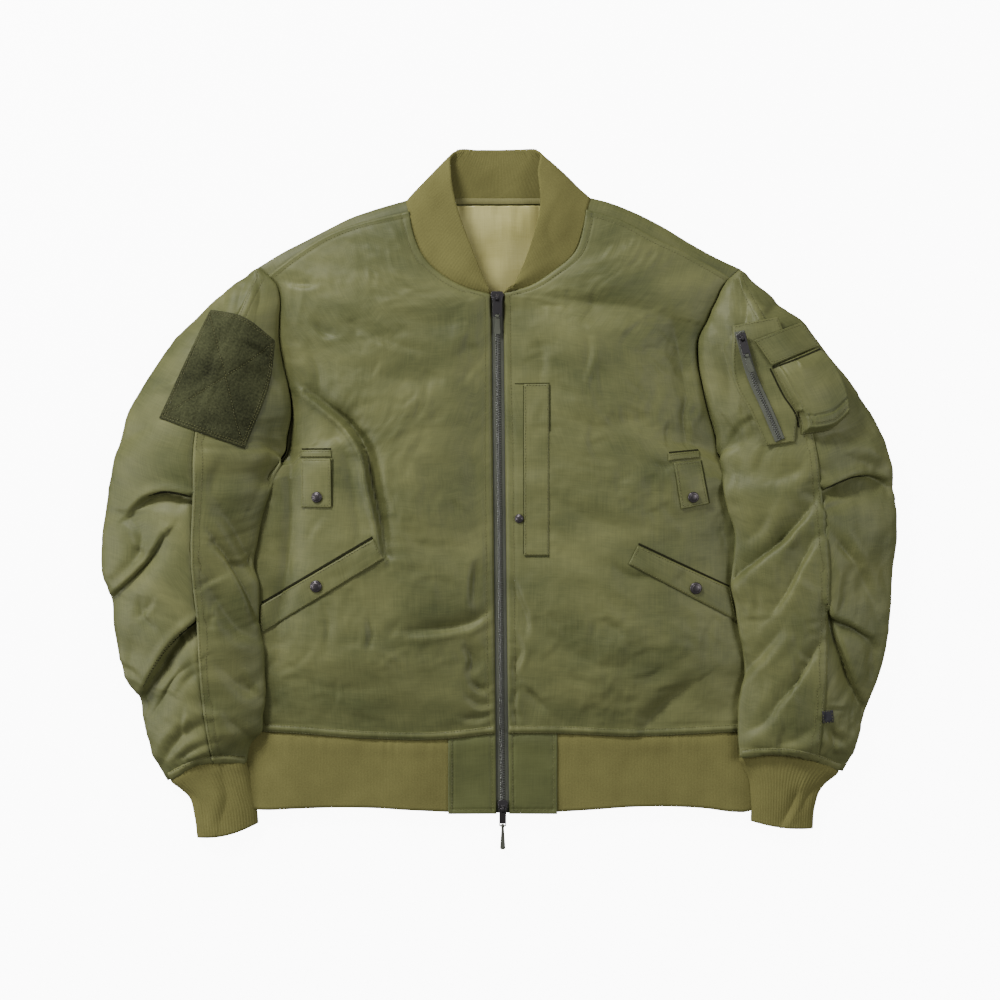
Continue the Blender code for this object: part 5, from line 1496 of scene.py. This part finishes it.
def ribbon_edges(line, half, pointed=False):
    """The edges of a narrow strip along a line in plan; a pointed one is widest before its middle."""
    shares = np.linspace(0, 1, 21 if pointed else 15)
    spots = line(shares)
    runs = np.gradient(spots, axis=0)
    runs /= np.linalg.norm(runs, axis=1)[:, None]
    if pointed:
        half = half * (0.12 + 0.88 * np.sin(np.pi * shares ** 0.75) ** 0.8)[:, None]
    aside = half * np.stack([runs[:, 1], -runs[:, 0]], axis=1)
    near, far = spots + aside, spots - aside
    return edges_of((near[0], far[0]), (near[-1], far[-1]), near, far)


# Where strips of painted shade lie on the fronts: half width, finish and line.
PAINTED_SHADE_STRIPS = {
    "welt_right": (1.2, shade, ((-137, -40), (-196, -75), (-257, -111))),
    "welt_left": (1.0, shade, ((149, -47), (200, -71), (247, -93))),
    "pen_right": (0.7, shade, ((-182, 55), (-214, 55))),
    "pen_left": (0.8, shade, ((182, 51), (214, 54))),
    "pen_edge_right": (0.6, fold_shade, ((-180, 44), (-180.4, -6))),
    "pen_edge_left": (0.6, fold_shade, ((216.8, 43), (225.6, -3))),
    "chest_inner": (0.45, fold_shade, ((25.6, 123), (25.6, 30), (25.6, -58))),
    "chest_outer": (0.5, fold_shade, ((53.7, 124), (53.7, 74))),
    "chest_top": (0.45, fold_shade, ((16, 125.5), (53, 125.8))),
    "chest_foot": (0.6, fold_shade, ((27, -60.8), (53, -60.8))),
}


# Lays a narrow strip of painted shade along a line, where a slit or a fold gets no light.
def mouth(name, under, points, half, finish=shade, lift=0.55, step=0.9, seed=71.0, pointed=False):
    strip, way = laid_grid(under, ribbon_edges(track(points), half, pointed), step, lift, rounds=0)
    sew(name + "_painted_shade_strip", [strip], finish, way, "nylon", wall=0.4, seed=seed)


for name, (half, finish, points) in PAINTED_SHADE_STRIPS.items():
    mouth(name, fronts, points, half, finish)

# %% [markdown]
# ### Bands and pleats
# The seams to the knit are covered by a narrow folded band, stitched along both edges, which stands up like
# a flat cord. And where the sleeves' pleats are sewn shut, one side of the cloth tucks under the other: the
# inside of that fold never sees the light, so each gets a strip of painted shade, dark and tapering to its ends.

# %% Bands and pleats
skins = {side: np.concatenate(sleeve_grid[side], axis=1) for side in SIDES}
sleeves = {side: Surface([skins[side]]) for side in SIDES}
BAND_WIDE = 8.6


def band(name, under, points, group, seed):
    strip, way = laid_grid(under, ribbon_edges(track(points), BAND_WIDE / 2), 1.1, 0.9, rounds=5)
    edge = np.minimum(*edge_distances(strip)[:2])
    relief = 1.1 * held_down(edge, 2.2) - 0.5 * np.exp(-((edge - 1.7) / 0.7) ** 2)
    relief += puckers(edge, lengths(strip)[1], seed, 0.22, 9, 12) - 0.9 * np.exp(-(edge / 0.6) ** 2)
    strip = raised(strip, way, relief)
    sew(name, [strip], nylon, way, "nylon", wall=0.8, seed=seed)
    stitch(group, strip, way, 1.7, "near far")


for side in SIDES:
    sign = SIGN[side]
    seam = sided(HEM_SEAM[side], side)
    seam[0, 0] = zip_x(-250.0) + sign * (ZIP_HALF_GAP + 1.2)
    seam[-1, 0] -= sign * 3.0
    seam[:, 1] += LAP * 0.5 + BAND_WIDE / 2 - 1.0
    band("hem_band_%s_shell" % side, fronts, seam[:, :2], "body", 151.0 + sign)
    ring = SLEEVE[side][-1]
    end = [(sign * (ring.inner_out + share * (ring.outer_out - ring.inner_out)),
            ring.inner_y + share * (ring.outer_y - ring.inner_y) + BAND_WIDE / 2 - 0.4
            + SLEEVE_END_BOW * math.sin(math.pi * share)) for share in (0.02, 0.25, 0.5, 0.75, 0.975)]
    band("sleeve_band_%s_shell" % side, sleeves[side], end, "sleeve_" + side, 157.0 + sign)

# Strips of painted shade in the sleeves' sewn pleats: side, half width and line.
PLEAT_SHADE_STRIPS = {
    "right_elbow": ("right", 1.2, ((332, 3.5), (346, 7), (362, 8.6), (378, 4.5))),
    "right_wrist": ("right", 1.5, ((325, -130), (340, -140.5), (358, -158.5), (374, -182), (386, -204))),
    "left_elbow": ("left", 1.1, ((347, 11.5), (362, 18), (382, 25), (398, 26))),
}


for name, (side, half, points) in PLEAT_SHADE_STRIPS.items():
    points = [(SIGN[side] * out, y) for out, y in points]
    mouth("pleat_" + name, sleeves[side], points, half, lift=0.25, step=0.8, seed=73.0, pointed=True)

# %% [markdown]
# ### The sleeve pocket
# The pocket on the left sleeve has three layers. A flat base is sewn to the sleeve, with a zip along its inner
# edge. On it sits a bellows pocket: a box of cloth with soft rounded walls, about 9 mm high. A flap covers its
# mouth. The layers are what make it read as a pocket, so each has its own thickness and its own shadow.

# %% Sleeve pocket
BELLOWS_HIGH = 8.6
base_edges = edges_of(((286, 58), (316, 62)), ((250, 187), (299, 197)),
                      ((286, 58), (268, 95), (252, 124), (250, 187)), ((316, 62), (320, 130), (299, 197)))
base, _ = laid("sleeve_pocket_base", sleeves["left"], base_edges, "sleeve_left", lift=3.0, step=1.6, seed=13.0,
               rounds=70, stiff=True)
stack = Surface([base, skins["left"]])
bellows_edges = edges_of(((323, 70), (352, 75), (375, 93)), ((292, 142), (344, 164)),
                         ((323, 70), (322, 84), (307, 112), (292, 142)),
                         ((375, 93), (374, 108), (361, 142), (344, 164)))
grid, way = laid_grid(stack, bellows_edges, 1.15, 1.6, rounds=0)
level, _ = laid_grid(sleeves["left"], bellows_edges, 1.15, 5.4, rounds=220, stiff=True)
near, far, low, high = edge_distances(grid)
grid += held_down(nearest_edge(grid), 4)[:, :, None] * (level - grid)
u, v = lengths(grid)


def wall_up(away, width):
    return 1 - np.exp(-(away / width) ** 2.2)


box = wall_up(near, 2.6) * wall_up(far, 2.6) * wall_up(low, 3.0) * (0.45 + 0.55 * wall_up(high, 10.0))
relief = BELLOWS_HIGH * box + 1.1 * smooth_noise(u / 30, v / 26, 101.0) * held_down(np.minimum(near, far), 9)
relief -= 1.6 * np.exp(-((low - 18.0) / 1.2) ** 2) * held_down(near, 4)
rim = np.minimum(near, low)
relief += 0.9 * np.exp(-((rim - 5.2) / 1.1) ** 2) - 0.7 * np.exp(-((rim - 7.6) / 1.2) ** 2)
relief -= 1.0 * np.exp(-((near - 10.0) / 14.0) ** 2) * held_down(low, 20)
lean = outward(grid, way).reshape(-1, 3).mean(axis=0)
lean /= np.linalg.norm(lean)
bellows = grid + lean * relief[:, :, None]
piece = sew("sleeve_pocket_bellows_shell", [bellows], nylon, way, "nylon", "sleeve_pocket_bellows", wall=1.4,
            seed=59.0)
cut(piece, [bellows])
stitch("sleeve_left", bellows, way, 19.5, "low")
stitch("sleeve_left", bellows, way, 1.6, "near far low")
laid("sleeve_pocket_flap", Surface([base, bellows, skins["left"]]),
     straight_edges((291, 144), (345, 166), (325, 191), (272, 171)), "sleeve_left", lift=4.4, step=1.3,
     seed=17.0, rounds=110, stiff=True)
# Painted shade: dark strips under the flap's lower edge and along the foot of the bellows' inner wall.
mouth("flap", Surface([base, bellows]), ((292, 141.5), (320, 152), (346, 163)), 0.9, lift=0.3)
mouth("bellows", stack, ((320, 78), (318, 88), (303, 113), (289.5, 141)), 0.9, lift=0.4)

POCKET_ZIP_LONG, POCKET_TAPE_HALF = 125, 5.4
zip_line = track([(257, 181), (270, 134), (287, 95), (300, 64)])
tape_grid, tape_way = laid_grid(stack, ribbon_edges(zip_line, POCKET_TAPE_HALF), 1.1, 1.5)
sew("pocket_zip_tape_weave", [tape_grid], tape, tape_way, "zip_tape", "pocket_zip_tape", wall=0.6, seed=61.0)
tape_surface = Surface([tape_grid])
spots = zip_line(np.linspace(0.01, 0.99, round(POCKET_ZIP_LONG / (TOOTH_PITCH / 2))))
middles = np.array([tape_surface.point(x, y, 0.0)[0] for x, y in spots])
teeth("pocket_zip_teeth", "pocket_zip_chain", middles, -0.45, 1.2)

# %% [markdown]
# ### Patch and tab
# The right sleeve carries a big patch of loop pile, held by a double row of stitches round it and a cross of
# stitches over it. The pile is short: its surface is broken up by real bumps of half a millimetre.

# %% Patch and tab
PATCH_WIDE = 90
PATCH_STITCHES = (2.8, 5.2)
patch_edges = edges_of(((-366, 88), (-274, 55)), ((-312, 205), (-276, 197), (-243, 172)),
                       ((-366, 88), (-312, 205)), ((-274, 55), (-247, 132), (-243, 172)))
grid, way = laid_grid(sleeves["right"], patch_edges, 1.25, 1.9, rounds=10)
edge = nearest_edge(grid)
u, v = lengths(grid)
rows, columns = np.meshgrid(np.linspace(0, 1, len(grid)), np.linspace(0, 1, grid.shape[1]), indexing="ij")
cross = PATCH_WIDE * np.minimum(np.abs(rows - columns), np.abs(rows + columns - 1))
loops = 0.34 * smooth_noise(u / 2.1, v / 2.1, 111.0) + 0.26 * smooth_noise(u / 4.4, v / 4.0, 112.0)
relief = loops * held_down(edge, 3) - 0.75 * np.exp(-(cross / 1.2) ** 2)
relief = relief - 0.5 * np.exp(-((edge - 3.0) / 1.0) ** 2) - 0.8 * np.exp(-(edge / 0.8) ** 2)
patch_grid = raised(grid, way, relief)
piece = sew("loop_patch_pile", [patch_grid], pile, way, "loop_tape", "loop_patch", wall=1.3, seed=67.0)
cut(piece, [patch_grid])
for distance in PATCH_STITCHES:
    stitch("sleeve_right", patch_grid, way, distance)
out = outward(patch_grid, way)
shape = patch_grid.shape[:2]
r, c = (np.linspace(2, size - 3, min(shape)).astype(int) for size in shape)
for columns in (c, c[::-1]):
    stitch_lines["sleeve_right"].append((patch_grid[r, columns] + out[r, columns] * 0.4, out[r, columns]))
label_edges = straight_edges((347, -240), (359, -239), (358, -226), (346, -227))
laid("label_tab", sleeves["left"], label_edges, "sleeve_left", label_weave, "label", 0.8, 1.4, 0.8,
     19.0, lines=(1.2,), swell=0.1, ending="_weave")

# %% [markdown]
# ## Stitches
# Every seam that shows is topstitched with thick thread, three stitches to the centimetre. A stitch is a small
# spindle of thread that lies in the cloth; its ends go down into the needle holes. They are joined into one
# mesh for each part of the jacket.

# %% Stitches
SLEEVE_SEAM_STITCHES = (9.0, 1.6)
ZIP_STITCHES, NECK_STITCHES, TAB_STITCHES = 8.0, 5.5, 4.6
STITCH_LENGTH = 2.5
STITCH_PITCH = 3.3
THREAD_HALF = 0.34


def stitch_mesh(name, lines):
    verts, faces = [], []
    ring = [(math.cos(a), math.sin(a)) for a in (0.0, math.pi * 0.5, math.pi, math.pi * 1.5)]
    for points, outs in lines:
        steps = np.linalg.norm(np.diff(points, axis=0), axis=1)
        total = steps.sum()
        if total < STITCH_PITCH * 2:
            continue
        count = int(total / STITCH_PITCH)
        shares = np.concatenate([[0.0], np.cumsum(steps)]) / total
        for k in range(count):
            middle = (k + 0.5) * STITCH_PITCH / total
            half = 0.5 * STITCH_LENGTH / total
            spots = [np.array([np.interp(s, shares, points[:, i]) for i in range(3)])
                     for s in (middle - half, middle, middle + half)]
            up = np.array([np.interp(middle, shares, outs[:, i]) for i in range(3)])
            run = spots[2] - spots[0]
            run /= max(np.linalg.norm(run), 1e-6)
            side_way = np.cross(run, up)
            start = len(verts)
            verts.append(spots[0] - up * 0.15)
            for share in (0.28, 0.72):
                centre = spots[0] + (spots[2] - spots[0]) * share + up * 0.24
                verts += [centre + (side_way * a + up * b) * THREAD_HALF for a, b in ring]
            verts.append(spots[2] - up * 0.15)
            for i in range(4):
                j = (i + 1) % 4
                faces.append((start, start + 1 + j, start + 1 + i))
                faces.append((start + 1 + i, start + 1 + j, start + 5 + j, start + 5 + i))
                faces.append((start + 9, start + 5 + i, start + 5 + j))
    piece = new_piece(name, metres(verts), faces, thread)
    print("stitches", name, len(verts) // 10)
    return on_root(piece, "nylon")


for side in SIDES:
    grid = front_grids[side]
    stitch("body", grid, SIGN[side], ZIP_STITCHES, "near")
    stitch("body", grid, SIGN[side], NECK_STITCHES, "high")
    for distance in SLEEVE_SEAM_STITCHES:
        stitch("sleeve_" + side, sleeve_grid[side][0], -SIGN[side], distance, "far")
    stitch("body", tab_grids[side], -SIGN[side], TAB_STITCHES, "near far high")
for group, lines in stitch_lines.items():
    stitch_mesh("stitches_" + group, lines)

# %% [markdown]
# ## The table
# A plain white table, a little below the jacket's underside.

# %% Table and end
TABLE_HALF, TABLE_Z = 20, -0.0006
table_white = new_finish("matt_white", "ffffff", 0.9, Emission_Color=(1, 1, 1, 1), Emission_Strength=10.0)[0]
corners = [(TABLE_HALF * a, TABLE_HALF * b, TABLE_Z) for a, b in ((-1, -1), (1, -1), (1, 1), (-1, 1))]
table = new_piece("table", corners, [(0, 1, 2, 3)], table_white, smooth=False)
table.visible_diffuse = False
table.visible_glossy = False
print("triangles", sum(made_triangles.values()), "largest", max(made_triangles.values()))
